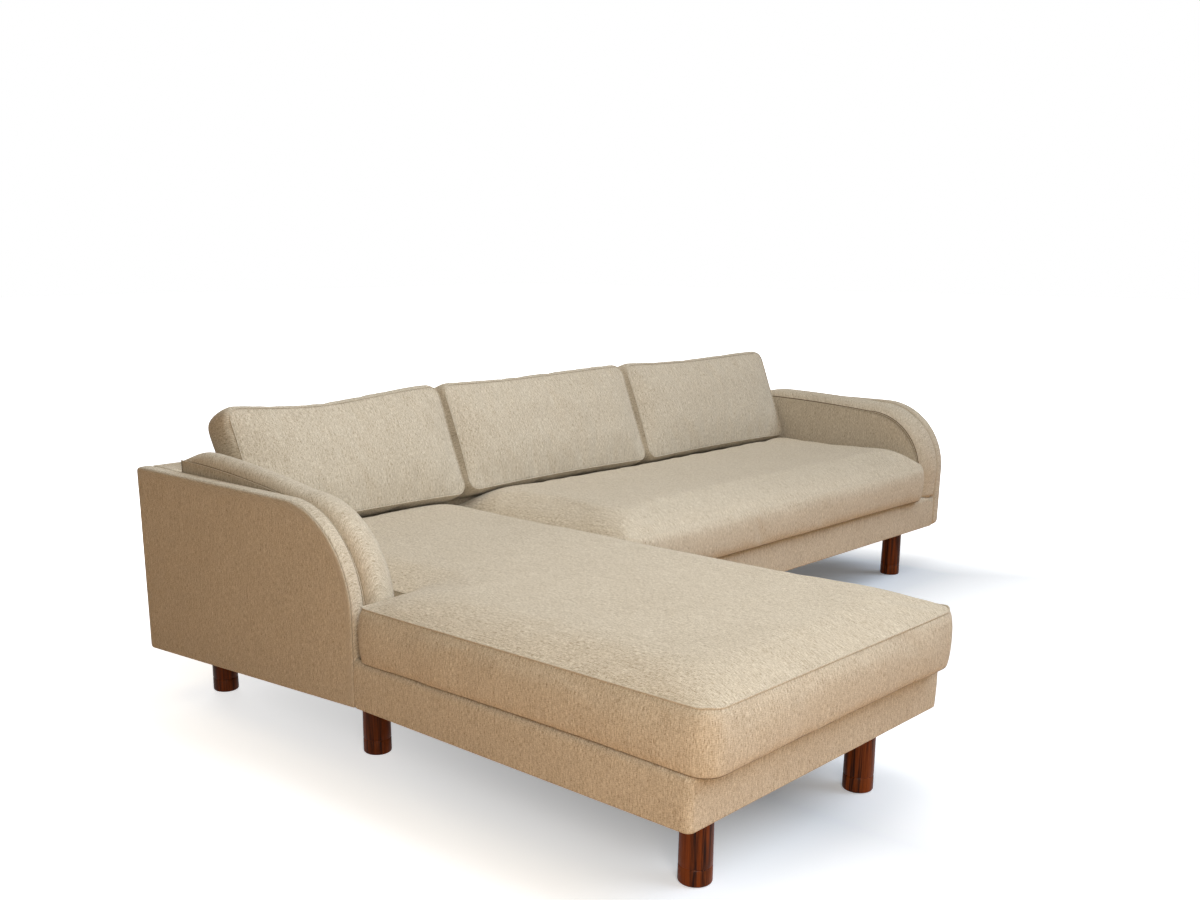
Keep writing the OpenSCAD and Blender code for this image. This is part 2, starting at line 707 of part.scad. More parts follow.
module chaise_left_border() {
  border([left_x, chaise_front_y + padding_t], [left_x + padding_t, arm_front_y]);
}

module chaise_right_border() {
  border([chaise_end_x - padding_t, chaise_front_y + padding_t], [chaise_end_x, arm_front_y]);
}

// Left arm and the chaise back
module left_arm_board() { color(ply_c) arm_board_form(); }

module left_arm_cover() { color(fabric_c) arm_cover_form(); }

module left_arm_bolster() { color(fabric_c) bolster_form(left_bolster_rise, left_bolster_puff); }

module left_arm_bolts() { color(steel_c) arm_bolts_form(); }

module chaise_back_board() { back_board_form(panel_in_x, chaise_end_x); }

module chaise_inside_back() {
  inside_back_form(panel_in_x, chaise_end_x);
}

module chaise_outside_back() { outside_back_form(panel_in_x, chaise_end_x); }

module chaise_connectors() { color(steel_c) for (y = hook_y) hook(y); }

// Chaise legs and glides
module chaise_front_left_leg() { leg(chaise_front_left); }

module chaise_front_right_leg() { leg(chaise_front_right); }

module left_arm_front_leg() { leg(arm_front); }

module left_arm_rear_leg() { leg(arm_rear); }

module chaise_rear_right_leg() { leg(chaise_rear_right); }

module chaise_glides() { glides(chaise_legs); }

// Sofa frame
module sofa_front_rail() {
  rail([sofa_rail_x, arm_front_y + padding_t], [-panel_in_x, arm_front_y + padding_t + rail_t]);
}

module sofa_left_rail() {
  rail([sofa_rail_x, arm_front_y + padding_t + rail_t], [sofa_rail_x + rail_t, back_rail_y]);
}

module sofa_right_rail() {
  color(pine_c) difference() {
    box([-panel_in_x - rail_t, arm_front_y + padding_t + rail_t, rail_z],
      [-panel_in_x, back_rail_y, rail_z + rail_h]);
    mirror([1, 0, 0]) arm_bolt_holes(fit_gap);
  }
}

module sofa_back_rail() { rail([sofa_rail_x, back_rail_y], [-panel_in_x, back_board_y]); }

module sofa_cross_rails() {
  span = -panel_in_x - sofa_rail_x;
  color(pine_c) for (s = [1 / 3, 2 / 3])
    box([sofa_rail_x + s * span - rail_t / 2, arm_front_y + padding_t + rail_t, rail_z],
      [sofa_rail_x + s * span + rail_t / 2, back_rail_y, rail_z + cross_h]);
}

module sofa_leg_blocks() {
  front = arm_front_y + padding_t + rail_t;
  left = sofa_rail_x + rail_t;
  right = -panel_in_x - rail_t;
  color(pine_c) {
    leg_block(sofa_front_left, left, sofa_front_left.x + block_reach,
      front, sofa_front_left.y + block_reach);
    leg_block(sofa_front_right, sofa_front_right.x - block_reach, right,
      front, sofa_front_right.y + block_reach);
    leg_block(sofa_rear_left, left, sofa_rear_left.x + block_reach,
      sofa_rear_left.y - block_reach, back_rail_y);
    leg_block(sofa_rear_right, sofa_rear_right.x - block_reach, right,
      sofa_rear_right.y - block_reach, back_rail_y);
  }
}

module sofa_leg_bolts() { color(steel_c) for (at = sofa_legs) leg_bolt(at); }

module sofa_webbing() {
  first = sofa_rail_x + rail_t;
  step = strap_w + strap_gap;
  count = floor((-panel_in_x - rail_t - first) / step);
  color(strap_c) for (k = [0:count - 1]) {
    x = first + strap_gap / 2 + k * step;
    box([x, arm_front_y + padding_t, web_z], [x + strap_w, back_board_y, web_z + web_t]);
  }
}

module sofa_deck() { deck() sofa_plan(sofa_end_x); }

module sofa_dust_cover() { dust_cover(sofa_legs) sofa_plan(sofa_rail_x); }

module sofa_front_border() {
  border([sofa_end_x, arm_front_y], [-panel_in_x, arm_front_y + padding_t]);
}

// Right arm and the sofa back
module right_arm_board() { color(ply_c) mirror([1, 0, 0]) arm_board_form(); }

module right_arm_cover() { color(fabric_c) mirror([1, 0, 0]) arm_cover_form(); }

module right_arm_bolster() {
  color(fabric_c) mirror([1, 0, 0]) bolster_form(right_bolster_rise, right_bolster_puff);
}

module right_arm_bolts() { color(steel_c) mirror([1, 0, 0]) arm_bolts_form(); }

module sofa_back_board() { back_board_form(sofa_end_x, -panel_in_x); }

module sofa_inside_back() {
  inside_back_form(sofa_end_x, -panel_in_x);
}

module sofa_outside_back() { outside_back_form(sofa_end_x, -panel_in_x); }

module sofa_connectors() { color(steel_c) for (y = hook_y) socket(y); }

// Sofa legs and glides
module sofa_front_left_leg() { leg(sofa_front_left); }

module sofa_front_right_leg() { leg(sofa_front_right); }

module sofa_rear_left_leg() { leg(sofa_rear_left); }

module sofa_rear_right_leg() { leg(sofa_rear_right); }

module sofa_glides() { glides(sofa_legs); }

// Loose cushions
module chaise_cushion() { color(fabric_c) chaise_cushion_form(); }

module bench_cushion() { color(fabric_c) bench_cushion_form(); }

module left_back_cushion() {
  x = bolster_in_x + left_end_gap;
  color(fabric_c) back_cushion_form(x, seam_x - back_cushion_gap / 2 - x, seat_lift(chaise_crown));
}

module middle_back_cushion() {
  x = seam_x + back_cushion_gap / 2;
  color(fabric_c) back_cushion_form(x, middle_seam_x - back_cushion_gap / 2 - x, seat_lift(bench_crown));
}

module right_back_cushion() {
  x = middle_seam_x + back_cushion_gap / 2;
  color(fabric_c) back_cushion_form(x, -bolster_in_x - right_end_gap - x, seat_lift(bench_crown));
}

chaise_front_rail();
chaise_left_rail();
chaise_arm_rail();
chaise_right_rail();
chaise_back_rail();
chaise_cross_rails();
chaise_leg_blocks();
chaise_leg_bolts();
chaise_webbing();
chaise_deck();
chaise_dust_cover();
chaise_front_border();
chaise_left_border();
chaise_right_border();
left_arm_board();
left_arm_cover();
left_arm_bolster();
left_arm_bolts();
chaise_back_board();
chaise_inside_back();
chaise_outside_back();
chaise_connectors();
chaise_front_left_leg();
chaise_front_right_leg();
left_arm_front_leg();
left_arm_rear_leg();
chaise_rear_right_leg();
chaise_glides();
chaise_cushion();
left_back_cushion();
sofa_front_rail();
sofa_left_rail();
sofa_right_rail();
sofa_back_rail();
sofa_cross_rails();
sofa_leg_blocks();
sofa_leg_bolts();
sofa_webbing();
sofa_deck();
sofa_dust_cover();
sofa_front_border();
right_arm_board();
right_arm_cover();
right_arm_bolster();
right_arm_bolts();
sofa_back_board();
sofa_inside_back();
sofa_outside_back();
sofa_connectors();
sofa_front_left_leg();
sofa_front_right_leg();
sofa_rear_left_leg();
sofa_rear_right_leg();
sofa_glides();
bench_cushion();
middle_back_cushion();
right_back_cushion();
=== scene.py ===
import math
import bmesh
import bpy
import numpy as np
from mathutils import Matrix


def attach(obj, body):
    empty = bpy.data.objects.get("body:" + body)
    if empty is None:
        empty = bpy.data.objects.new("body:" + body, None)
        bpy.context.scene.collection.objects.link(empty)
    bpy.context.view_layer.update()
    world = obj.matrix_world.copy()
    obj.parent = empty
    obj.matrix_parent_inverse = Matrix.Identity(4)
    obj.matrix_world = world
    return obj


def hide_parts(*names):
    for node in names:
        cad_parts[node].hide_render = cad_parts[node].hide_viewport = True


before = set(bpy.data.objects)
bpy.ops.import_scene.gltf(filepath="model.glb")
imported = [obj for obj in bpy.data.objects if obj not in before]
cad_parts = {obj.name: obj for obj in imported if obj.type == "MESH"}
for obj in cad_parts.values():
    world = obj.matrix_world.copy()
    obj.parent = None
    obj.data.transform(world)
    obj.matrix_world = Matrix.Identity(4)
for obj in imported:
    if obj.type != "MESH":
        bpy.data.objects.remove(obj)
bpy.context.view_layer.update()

# Camera
# It stands ahead of the chaise's left front corner, half a metre above the arms,
# and looks down at the sofa. The shift keeps the picture's own framing.
camera = bpy.data.objects.new("camera", bpy.data.cameras.new("camera"))
bpy.context.scene.collection.objects.link(camera)
bpy.context.scene.camera = camera
camera.location = (-3.026458, -2.103488, 1.166708)
camera.rotation_euler = (math.radians(74.805), 0, math.radians(-46.34))
camera.data.sensor_width = 36
camera.data.lens = 38.2424
camera.data.shift_x = 0.049095
camera.data.shift_y = 0.12177


# Rails, cross rails and leg blocks
# The frame inside both bases is planed softwood, screwed and glued: rails on
# edge all round, cross rails between them and a block in each leg's corner.
class Value:
    """A number or a colour from a shader node. Arithmetic on it adds Math nodes."""

    def __init__(self, finish, socket):
        self.finish = finish
        self.socket = socket

    def __add__(self, other):
        return self.finish.maths("ADD", self, other)

    def __sub__(self, other):
        return self.finish.maths("SUBTRACT", self, other)

    def __rsub__(self, other):
        return self.finish.maths("SUBTRACT", other, self)

    def __mul__(self, other):
        return self.finish.maths("MULTIPLY", self, other)

    def __pow__(self, other):
        return self.finish.maths("POWER", self, other)

    __radd__ = __add__
    __rmul__ = __mul__


class Finish:
    """A material in the making, or a world's: it adds the nodes and links them."""

    def __init__(self, name, kind=bpy.data.materials):
        self.material = kind.new(name)
        self.material.use_nodes = True
        self.tree = self.material.node_tree
        self.tree.nodes.clear()

    def node(self, kind, settings=None, sockets=None, out=0):
        """Adds a node and gives one of its outputs. The settings come first, stops
        being the places and colours of a ramp, then its sockets' values or links."""
        node = self.tree.nodes.new("ShaderNode" + kind)
        for name, value in (settings or {}).items():
            if name != "stops":
                setattr(node, name, value)
                continue
            while len(node.color_ramp.elements) < len(value):
                node.color_ramp.elements.new(0.5)
            for stop, (place, colour) in zip(node.color_ramp.elements, value):
                stop.position = place
                stop.color = (*colour, 1)
        for name, value in (sockets or {}).items():
            socket = node.inputs[name]
            if isinstance(value, Value):
                self.tree.links.new(value.socket, socket)
            elif socket.type == "RGBA":
                socket.default_value = (*value, 1)
            else:
                socket.default_value = value
        return Value(self, node.outputs[out]) if node.outputs else None

    def maths(self, operation, *terms):
        return self.node("Math", {"operation": operation}, dict(enumerate(terms)))

    def mixed(self, share, first, second):
        """The first colour where share is 0, the second where it is 1."""
        return self.node("Mix", {"data_type": "RGBA"}, {0: share, 6: first, 7: second}, out=2)

    def fitted(self, value, low, high):
        """0 where the value is at low or beyond, 1 at high, straight between."""
        return self.node("MapRange", {}, {0: value, 1: low, 2: high})

    def noise(self, place, waves, detail=2, shift=(0, 0, 0)):
        """Soft noise around 0.5, with that many waves a metre along each axis."""
        mapped = self.node("Mapping", {}, {"Vector": place, "Location": shift, "Scale": waves})
        return self.node("TexNoise", {}, {"Vector": mapped, "Scale": 1, "Detail": detail})

    def wave(self, value, length):
        """A sine wave of that length, from -1 to 1."""
        return self.maths("SINE", value * (2 * math.pi / length))

    def split(self, place):
        """The X, Y and Z of a place."""
        return [self.node("SeparateXYZ", {}, {0: place}, out=axis) for axis in range(3)]

    def seen(self):
        """1 for what the camera sees, straight, mirrored or through glass, else 0."""
        rays = [self.node("LightPath", out=f"Is {kind} Ray") for kind in ("Camera", "Glossy", "Transmission")]
        return self.maths("MAXIMUM", self.maths("MAXIMUM", rays[0], rays[1]), rays[2])

    def surface(self, colour, roughness, height=None, relief=0.0, constants=None):
        """Ends the material. The height, 0 to 1, bumps the surface by relief metres,
        and the constants go on the shader's own sockets."""
        sockets = {"Base Color": colour, "Roughness": roughness}
        if height is not None:
            sockets["Normal"] = self.node("Bump", {}, {"Height": height, "Distance": relief})
        sockets.update(constants or {})
        shader = self.node("BsdfPrincipled", {}, sockets)
        self.node("OutputMaterial", {}, {"Surface": shader})
        return self.material


def planed_pine(name, turn):
    """Pine: broad early and late wood lines and fine fibres along X, turned about Z."""
    pine = Finish(name)
    place = pine.node("TexCoord", out=3)
    along = pine.node("Mapping", {}, {"Vector": place, "Rotation": (0, 0, turn)})
    sway = pine.noise(along, (1.2, 9, 9))
    rings = pine.noise(along, (0.8, 70, 70), 3, (0, 3, 7))
    fibres = pine.noise(along, (14, 900, 900))
    late = pine.fitted(rings + sway * 0.5, 0.62, 0.92)
    colour = pine.mixed(late, (0.66, 0.45, 0.23), (0.44, 0.24, 0.095))
    colour = pine.mixed(pine.fitted(fibres, 0.45, 0.75) * 0.35, colour, (0.36, 0.2, 0.09))
    return pine.surface(colour, 0.62 + fibres * 0.12, fibres * 0.6 + late * 0.4, 0.0004)


def give(material, *names):
    """The CAD nodes of these names take the material in all their slots."""
    for name in names:
        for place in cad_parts[name].material_slots:
            place.material = material


give(planed_pine("pine along the sofa", 0), "chaise_front_rail", "chaise_back_rail", "chaise_cross_rails",
     "chaise_leg_blocks", "sofa_front_rail", "sofa_back_rail", "sofa_leg_blocks")
give(planed_pine("pine across the sofa", math.pi / 2), "chaise_left_rail", "chaise_right_rail",
     "chaise_arm_rail", "sofa_left_rail", "sofa_right_rail", "sofa_cross_rails")


# Arm and back boards
# Birch plywood, 19 mm thick in thirteen plies, with holes for the arm bolts.
# The covers of the arms and back are stapled round them.
def plywood(name, thick_axis):
    """Birch plywood: broad rotary figure on the faces, and plies 1.46 mm thick that
    show as light and dark bands where the edge is cut across the thick axis."""
    ply = Finish(name)
    place = ply.node("TexCoord", out=3)
    depth = ply.split(place)[thick_axis]
    figure = ply.noise(place, (6, 6, 1.4), 4)
    fibres = ply.noise(place, (700, 700, 20))
    band = ply.fitted(ply.wave(depth, 2 * 0.00146), -0.15, 0.15)
    colour = ply.mixed(ply.fitted(figure, 0.3, 0.7), (0.62, 0.44, 0.25), (0.47, 0.3, 0.15))
    colour = ply.mixed(band * 0.35, colour, (0.3, 0.17, 0.08))
    return ply.surface(colour, 0.55 + fibres * 0.15, fibres, 0.0002)


give(plywood("plywood in the arms", 0), "left_arm_board", "right_arm_board")
give(plywood("plywood in the back", 1), "chaise_back_board", "sofa_back_board")

# Leg bolts, arm bolts and module connectors
# Zinc-plated steel: M8 bolts through the frame, and bent 3 mm hooks on the
# chaise that stand in sockets on the sofa.
zinc = Finish("zinc-plated steel")
zinc_place = zinc.node("TexCoord", out=3)
zinc_scratch = zinc.noise(zinc_place, (60, 1600, 60))
zinc_wear = zinc.fitted(zinc.noise(zinc_place, (90, 90, 90), 3), 0.45, 0.7)
zinc_colour = zinc.mixed(zinc_wear, (0.62, 0.63, 0.65), (0.46, 0.46, 0.47))
zinc.surface(zinc_colour, 0.3 + zinc_wear * 0.2, zinc_scratch, 0.00005, {"Metallic": 1.0})
give(zinc.material, "chaise_leg_bolts", "left_arm_bolts", "chaise_connectors",
     "sofa_leg_bolts", "right_arm_bolts", "sofa_connectors")


# Webbing
# Elastic straps, 50 mm wide, stapled on top of the rails: across the chaise
# and front to back under the bench. They carry the deck and sag a little.
def cell_corners(number):
    """The four corner numbers of each cell of a grid of numbered points."""
    return np.stack([number[:-1, :-1], number[1:, :-1], number[1:, 1:], number[:-1, 1:]], -1)


def grid(points, places):
    """A panel on a grid of points: its points, their places on the flat cloth, and
    the corner numbers of each cell, neighbours in both directions."""
    cells = cell_corners(np.arange(points[..., 0].size).reshape(points.shape[:2]))
    return points.reshape(-1, 3), places.reshape(-1, 2), cells.reshape(-1, 4)


def run(points, axis):
    """Distance covered along one axis of a grid of points, from 0 at its start."""
    steps = np.linalg.norm(np.diff(points, axis=axis), axis=-1)
    start = np.zeros_like(np.take(steps, [0], axis))
    return np.concatenate([start, np.cumsum(steps, axis)], axis)


def hose(loops, caps):
    """Panels of a closed form through a row of closed loops, laid out as (loop, point
    on it, 3): a skin, and at each end a cap that joins the loop's first half to its
    second half straight across. The caps take their places from the two axes given,
    and their number of steps across from the third value."""
    skin = np.concatenate([loops, loops[:, :1]], 1)
    places = np.stack([run(skin, 1), run(skin, 0)], -1)
    panels = [grid(skin, places)]
    half = loops.shape[1] // 2
    share = np.linspace(0, 1, caps[2] + 1)[:, None, None]
    for loop in (loops[0], loops[-1]):
        cap = loop[:half] * (1 - share) + loop[half:][::-1] * share
        panels.append(grid(cap, cap[..., list(caps[:2])]))
    return panels


def values(items, name, kind=np.int32, width=1):
    """One property of all a mesh's points, edges, faces or corners, as an array."""
    found = np.empty(len(items) * width, kind)
    items.foreach_get(name, found)
    return found.reshape(-1, width) if width > 1 else found


def sewn(name, panels, body, material, seams=True):
    """One mesh of panels that meet edge to edge, riding on a body. Points that meet
    are merged, and normals turned outwards. Each edge between two panels is a seam,
    which stays sharp. The cloth's places go into the UV map called cloth."""
    first = np.cumsum([0] + [len(points) for points, places, cells in panels])
    shifted = [(points, places, cells + start) for (points, places, cells), start in zip(panels, first)]
    points, places, cells = (np.concatenate(parts) for parts in zip(*shifted))
    number = np.repeat(np.arange(len(panels)), [len(panel[2]) for panel in panels])
    mesh = bpy.data.meshes.new(name)
    mesh.vertices.add(len(points))
    mesh.vertices.foreach_set("co", points.ravel())
    mesh.loops.add(cells.size)
    mesh.loops.foreach_set("vertex_index", cells.ravel().astype(np.int32))
    mesh.polygons.add(len(cells))
    mesh.polygons.foreach_set("loop_start", np.arange(0, cells.size, 4, dtype=np.int32))
    mesh.update(calc_edges=True)
    mesh.uv_layers.new(name="cloth").data.foreach_set("uv", places[cells.ravel()].ravel())
    mesh.attributes.new("panel", "INT", "FACE").data.foreach_set("value", number.astype(np.int32))
    work = bmesh.new()
    work.from_mesh(mesh)
    bmesh.ops.remove_doubles(work, verts=work.verts, dist=2e-5)
    bmesh.ops.recalc_face_normals(work, faces=work.faces)
    work.to_mesh(mesh)
    work.free()
    mesh.shade_smooth()
    if seams:
        edge = values(mesh.loops, "edge_index")
        number = values(mesh.attributes["panel"].data, "value")
        number = np.repeat(number, values(mesh.polygons, "loop_total"))
        low = np.full(len(mesh.edges), len(panels))
        high = np.full(len(mesh.edges), -1)
        np.minimum.at(low, edge, number)
        np.maximum.at(high, edge, number)
        seam = high > low
        mesh.attributes.new("sharp_edge", "BOOLEAN", "EDGE").data.foreach_set("value", seam)
        crease = mesh.attributes.new("crease_edge", "FLOAT", "EDGE")
        crease.data.foreach_set("value", seam.astype(np.float32))
    mesh.materials.append(material)
    piece = bpy.data.objects.new(name, mesh)
    bpy.context.scene.collection.objects.link(piece)
    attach(piece, body)
    return piece


def seam_points(mesh):
    """Which points of a mesh lie on its sharp edges, as one true or false for each."""
    sharp = values(mesh.attributes["sharp_edge"].data, "value", bool)
    chosen = np.zeros(len(mesh.vertices), bool)
    chosen[values(mesh.edges, "vertices", width=2)[sharp]] = True
    return chosen


def panel_points(mesh, low, high):
    """Which points of a mesh lie on its panels numbered from low to high."""
    number = values(mesh.attributes["panel"].data, "value")
    within = np.repeat((number >= low) & (number <= high), values(mesh.polygons, "loop_total"))
    chosen = np.zeros(len(mesh.vertices), bool)
    chosen[values(mesh.loops, "vertex_index")[within]] = True
    return chosen


def placed_points(mesh):
    """The places of a mesh's points, one row for each."""
    return values(mesh.vertices, "co", np.float32, 3)


def paint_seam_shade(mesh, share):
    """Stores at each point how much painted shade darkens a seam's crease, which the fabric reads."""
    mesh.attributes.new("stitch", "FLOAT", "POINT").data.foreach_set("value", share.astype(np.float32))


def elastic_webbing():
    """Webbing: ribs across it, fuzz, and dark lines along it 12.5 mm apart."""
    webbing = Finish("elastic webbing")
    place = webbing.node("UVMap", {"uv_map": "cloth"})
    across, along = webbing.split(place)[:2]
    weave = webbing.wave(across, 0.0022) * webbing.wave(along, 0.0016)
    fuzz = webbing.noise(place, (900, 900, 900))
    stripes = webbing.fitted(webbing.wave(across, 0.0125), 0.55, 0.75)
    colour = webbing.mixed(stripes, (0.3, 0.23, 0.14), (0.08, 0.06, 0.045))
    colour = webbing.mixed(webbing.fitted(fuzz, 0.4, 0.7) * 0.4, colour, (0.45, 0.37, 0.25))
    return webbing.surface(colour, 0.8, weave * 0.5 + 0.5, 0.0004)


strap_w = 0.05
strap_t = 0.0024
strap_top = 0.278
strap_sag = 0.004
strap_step = 0.112
strap_margin = 0.096


def straps(starts, ends, sideways):
    """Panels of parallel straps: a flat oval section carried from start to end,
    sagging as (1 - s^2)^2, where s runs from -1 to 1."""
    panels = []
    share = np.linspace(0, 1, 25)[:, None]
    sag = strap_sag * (1 - (2 * share - 1) ** 2) ** 2
    turn = np.linspace(0, 2 * np.pi, 12, endpoint=False)
    across = strap_w / 2 * np.sign(np.cos(turn)) * np.abs(np.cos(turn)) ** 0.25
    up = strap_t / 2 * np.sign(np.sin(turn)) * np.abs(np.sin(turn)) ** 0.6
    for start, end in zip(starts, ends):
        middle = (np.array(start) * (1 - share) + np.array(end) * share)[:, None, :]
        loops = middle + across[:, None] * np.array(sideways)
        loops[..., 2] += up - sag + strap_top - strap_t / 2 - 0.0002
        panels += hose(loops, (0, 1, 1))
    return panels


arm_outside = 1.375
arm_inside = 1.332
arm_front = 0.05
board_front = 0.899
chaise_front = -0.885
chaise_right = -0.4635
sofa_left = -0.4625
border_t = 0.012

chaise_strap_y = chaise_front + strap_margin + strap_step * np.arange(15)
chaise_strap_x = np.where(chaise_strap_y < -0.003, -arm_outside + border_t, -arm_inside)
sofa_strap_x = sofa_left + strap_margin + strap_step * np.arange(15)
webbing_finish = elastic_webbing()
for module, starts, ends, sideways in (
        ("chaise", [(x, y, 0) for x, y in zip(chaise_strap_x, chaise_strap_y)],
         [(chaise_right - border_t, y, 0) for y in chaise_strap_y], (0, 1, 0)),
        ("sofa", [(x, arm_front + border_t, 0) for x in sofa_strap_x],
         [(x, board_front, 0) for x in sofa_strap_x], (1, 0, 0))):
    webbing_piece = sewn(f"{module}_straps", straps(starts, ends, sideways), f"{module}_module",
                         webbing_finish)
    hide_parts(f"{module}_webbing")


# Decks
# Each module's seat is decked with plain lining cloth over felt and a thin foam
# pad, laid on the webbing. Its edges thin out where the cloth is pulled down.
def cut(xs, ys, corners, away=(), rounding=()):
    """A plan cut from the grid of lines xs by ys: points, cells and its outline.

    corners walks round the outline counter-clockwise by line numbers, and away
    holds the ranges of cells left out. A rounding (x, y, side_x, side_y, radius)
    takes the square at an outward corner to a quarter disc: with a and b running
    from 0 to 1 at the edges, they become a sqrt(1 - b^2/2) and b sqrt(1 - a^2/2)."""
    x, y = np.meshgrid(xs, ys, indexing="ij")
    number = np.arange(x.size).reshape(x.shape)
    cells = cell_corners(number)
    kept = np.ones(cells.shape[:2], bool)
    for i0, i1, j0, j1 in away:
        kept[i0:i1, j0:j1] = False
    walk = []
    for (i0, j0), (i1, j1) in zip(corners, corners[1:] + corners[:1]):
        steps = max(abs(i1 - i0), abs(j1 - j0))
        i = np.linspace(i0, i1, steps, endpoint=False).round().astype(int)
        j = np.linspace(j0, j1, steps, endpoint=False).round().astype(int)
        walk.append(number[i, j])
    for corner_x, corner_y, side_x, side_y, radius in rounding:
        a = 1 - (corner_x - x) * side_x / radius
        b = 1 - (corner_y - y) * side_y / radius
        near = (a > 0) & (b > 0) & (a < 1.001) & (b < 1.001)
        a, b = np.clip(a, 0, 1), np.clip(b, 0, 1)
        x = np.where(near, corner_x - side_x * radius * (1 - a * np.sqrt(1 - b * b / 2)), x)
        y = np.where(near, corner_y - side_y * radius * (1 - b * np.sqrt(1 - a * a / 2)), y)
    used, cells = np.unique(cells[kept], return_inverse=True)
    plan = np.stack([x.ravel()[used], y.ravel()[used]], -1)
    return plan, cells.reshape(-1, 4), np.searchsorted(used, np.concatenate(walk))


def unit(rows):
    """Rows scaled to length 1."""
    return rows / np.linalg.norm(rows, axis=1)[:, None]


def boxed(shape, top, foot, profile, fullness=1.0):
    """Panels of a boxed pad on a plan: its top at the heights given, a border, and an
    underside at foot. The border's rows follow the outline from the seam down, each
    pushed out along the outline's normal, times fullness, and its height a share of
    the wall's."""
    plan, cells, outline = shape
    loop = plan[outline]
    ahead = np.roll(loop, -1, 0) - np.roll(loop, 1, 0)
    normal = unit(np.stack([ahead[:, 1], -ahead[:, 0]], -1))
    upper = np.column_stack([plan, top])
    push, share = np.array(profile, float).T[..., None]
    edge = foot + (top[outline] - foot) * share
    wall = np.dstack([loop + normal * (push * fullness)[..., None], edge])
    under = np.column_stack([plan, np.full(len(plan), foot)])
    under[outline] = wall[-1]
    wall = np.concatenate([wall, wall[:, :1]], 1)
    wall_places = np.stack([run(wall, 1)[len(profile) // 2] + wall[..., 0] * 0, run(wall, 0)], -1)
    return [(upper, plan, cells), grid(wall, wall_places + 3), (under, plan + 7, cells)]


def lining_cloth():
    """Plain lining: a fine twill with lint on it, and slow shades of tan."""
    lining = Finish("plain lining cloth")
    place = lining.node("UVMap", {"uv_map": "cloth"})
    across, along = lining.split(place)[:2]
    twill = lining.wave(across + along, 0.0011)
    lint = lining.noise(place, (500, 500, 500), 3)
    shade = lining.noise(place, (7, 7, 7), 3)
    colour = lining.mixed(lining.fitted(lint, 0.45, 0.8), (0.3, 0.225, 0.14), (0.43, 0.345, 0.235))
    colour = lining.mixed(lining.fitted(shade, 0.3, 0.7) * 0.4, colour, (0.3, 0.23, 0.15))
    return lining.surface(colour, 0.85 + lint * 0.1, twill * 0.5 + 0.5, 0.0003)


def from_outline(plan, outline):
    """How far each point of a plan is from the nearest point of its outline."""
    return np.min(np.linalg.norm(plan[:, None] - plan[outline][None], axis=2), 1)


deck_top = 0.293
deck_under = strap_top
deck_profile = [(0, 1), (0.0008, 0.8), (0.001, 0.5), (0.0006, 0.25), (-0.0006, 0)]
deck_inset = 0.001


def deck_rise(plan, outline):
    """Deck height: 3 mm down along the edges, rising over the first 40 mm as
    1 - (1 - d/40)^2, with a slow swell of half a millimetre."""
    rise = 1 - (1 - np.clip(from_outline(plan, outline) / 0.04, 0, 1)) ** 2
    swell = np.sin(plan[:, 0] * 11) * np.sin(plan[:, 1] * 9 + 1)
    return deck_top - 0.003 * (1 - rise) - 0.0006 * (1 + swell) * rise


def lines(*stops):
    """Grid lines through the stops, (place, count) pairs: each count is the number of
    equal steps from the stop before it."""
    parts = [np.linspace(a[0], b[0], b[1], endpoint=False) for a, b in zip(stops, stops[1:])]
    return np.concatenate(parts + [[stops[-1][0]]])


chaise_deck_plan = cut(
    lines((-arm_outside + border_t + deck_inset, 0), (-arm_inside + deck_inset, 2),
          (chaise_right - border_t - deck_inset, 48), (chaise_right - deck_inset, 1)),
    lines((chaise_front + border_t + deck_inset, 0), (arm_front, 52), (board_front - deck_inset, 48)),
    [(0, 0), (50, 0), (50, 52), (51, 52), (51, 100), (2, 100), (2, 52), (0, 52)],
    [(50, 51, 0, 52), (0, 2, 52, 100)])
sofa_deck_plan = cut(lines((sofa_left + deck_inset, 0), (arm_inside - deck_inset, 100)),
                     lines((arm_front + border_t + deck_inset, 0), (board_front - deck_inset, 48)),
                     [(0, 0), (100, 0), (100, 48), (0, 48)])
lining_finish = lining_cloth()
for module, deck_plan in (("chaise", chaise_deck_plan), ("sofa", sofa_deck_plan)):
    deck_heights = deck_rise(deck_plan[0], deck_plan[2])
    deck_pad = sewn(f"{module}_deck_pad", boxed(deck_plan, deck_heights, deck_under, deck_profile),
                    f"{module}_module", lining_finish)
    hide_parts(f"{module}_deck")

# Dust covers
# Black bonded cloth stapled under both frames, cut out round each leg, with a
# few millimetres of sag between the rails.
bonded = Finish("black bonded cloth")
bonded_place = bonded.node("UVMap", {"uv_map": "cloth"})
bonded_dimples = bonded.node("TexVoronoi", {}, {"Vector": bonded_place, "Scale": 650})
bonded_fibres = bonded.noise(bonded_place, (1200, 1200, 1200), 3)
bonded_lint = bonded.fitted(bonded_fibres, 0.4, 0.75)
bonded_colour = bonded.mixed(bonded_lint, (0.012, 0.012, 0.012), (0.05, 0.048, 0.046))
bonded.surface(bonded_colour, 0.7 + bonded_fibres * 0.2, bonded_dimples, 0.0003)

dust_level = 0.183
dust_step = 0.03
hole_radius = 0.0333
hole_half = 0.024


def around(places, low, high):
    """Grid lines from low to high, at fixed lines round each leg's centre and about
    30 mm apart between."""
    fixed = [low, high] + [place + offset for place in places
                           for offset in (-0.045, -hole_half, -0.012, 0, 0.012, hole_half, 0.045)]
    fixed = sorted(fixed)
    parts = [np.linspace(a, b, max(1, round((b - a) / dust_step)), endpoint=False)
             for a, b in zip(fixed, fixed[1:])]
    return np.concatenate(parts + [[high]])


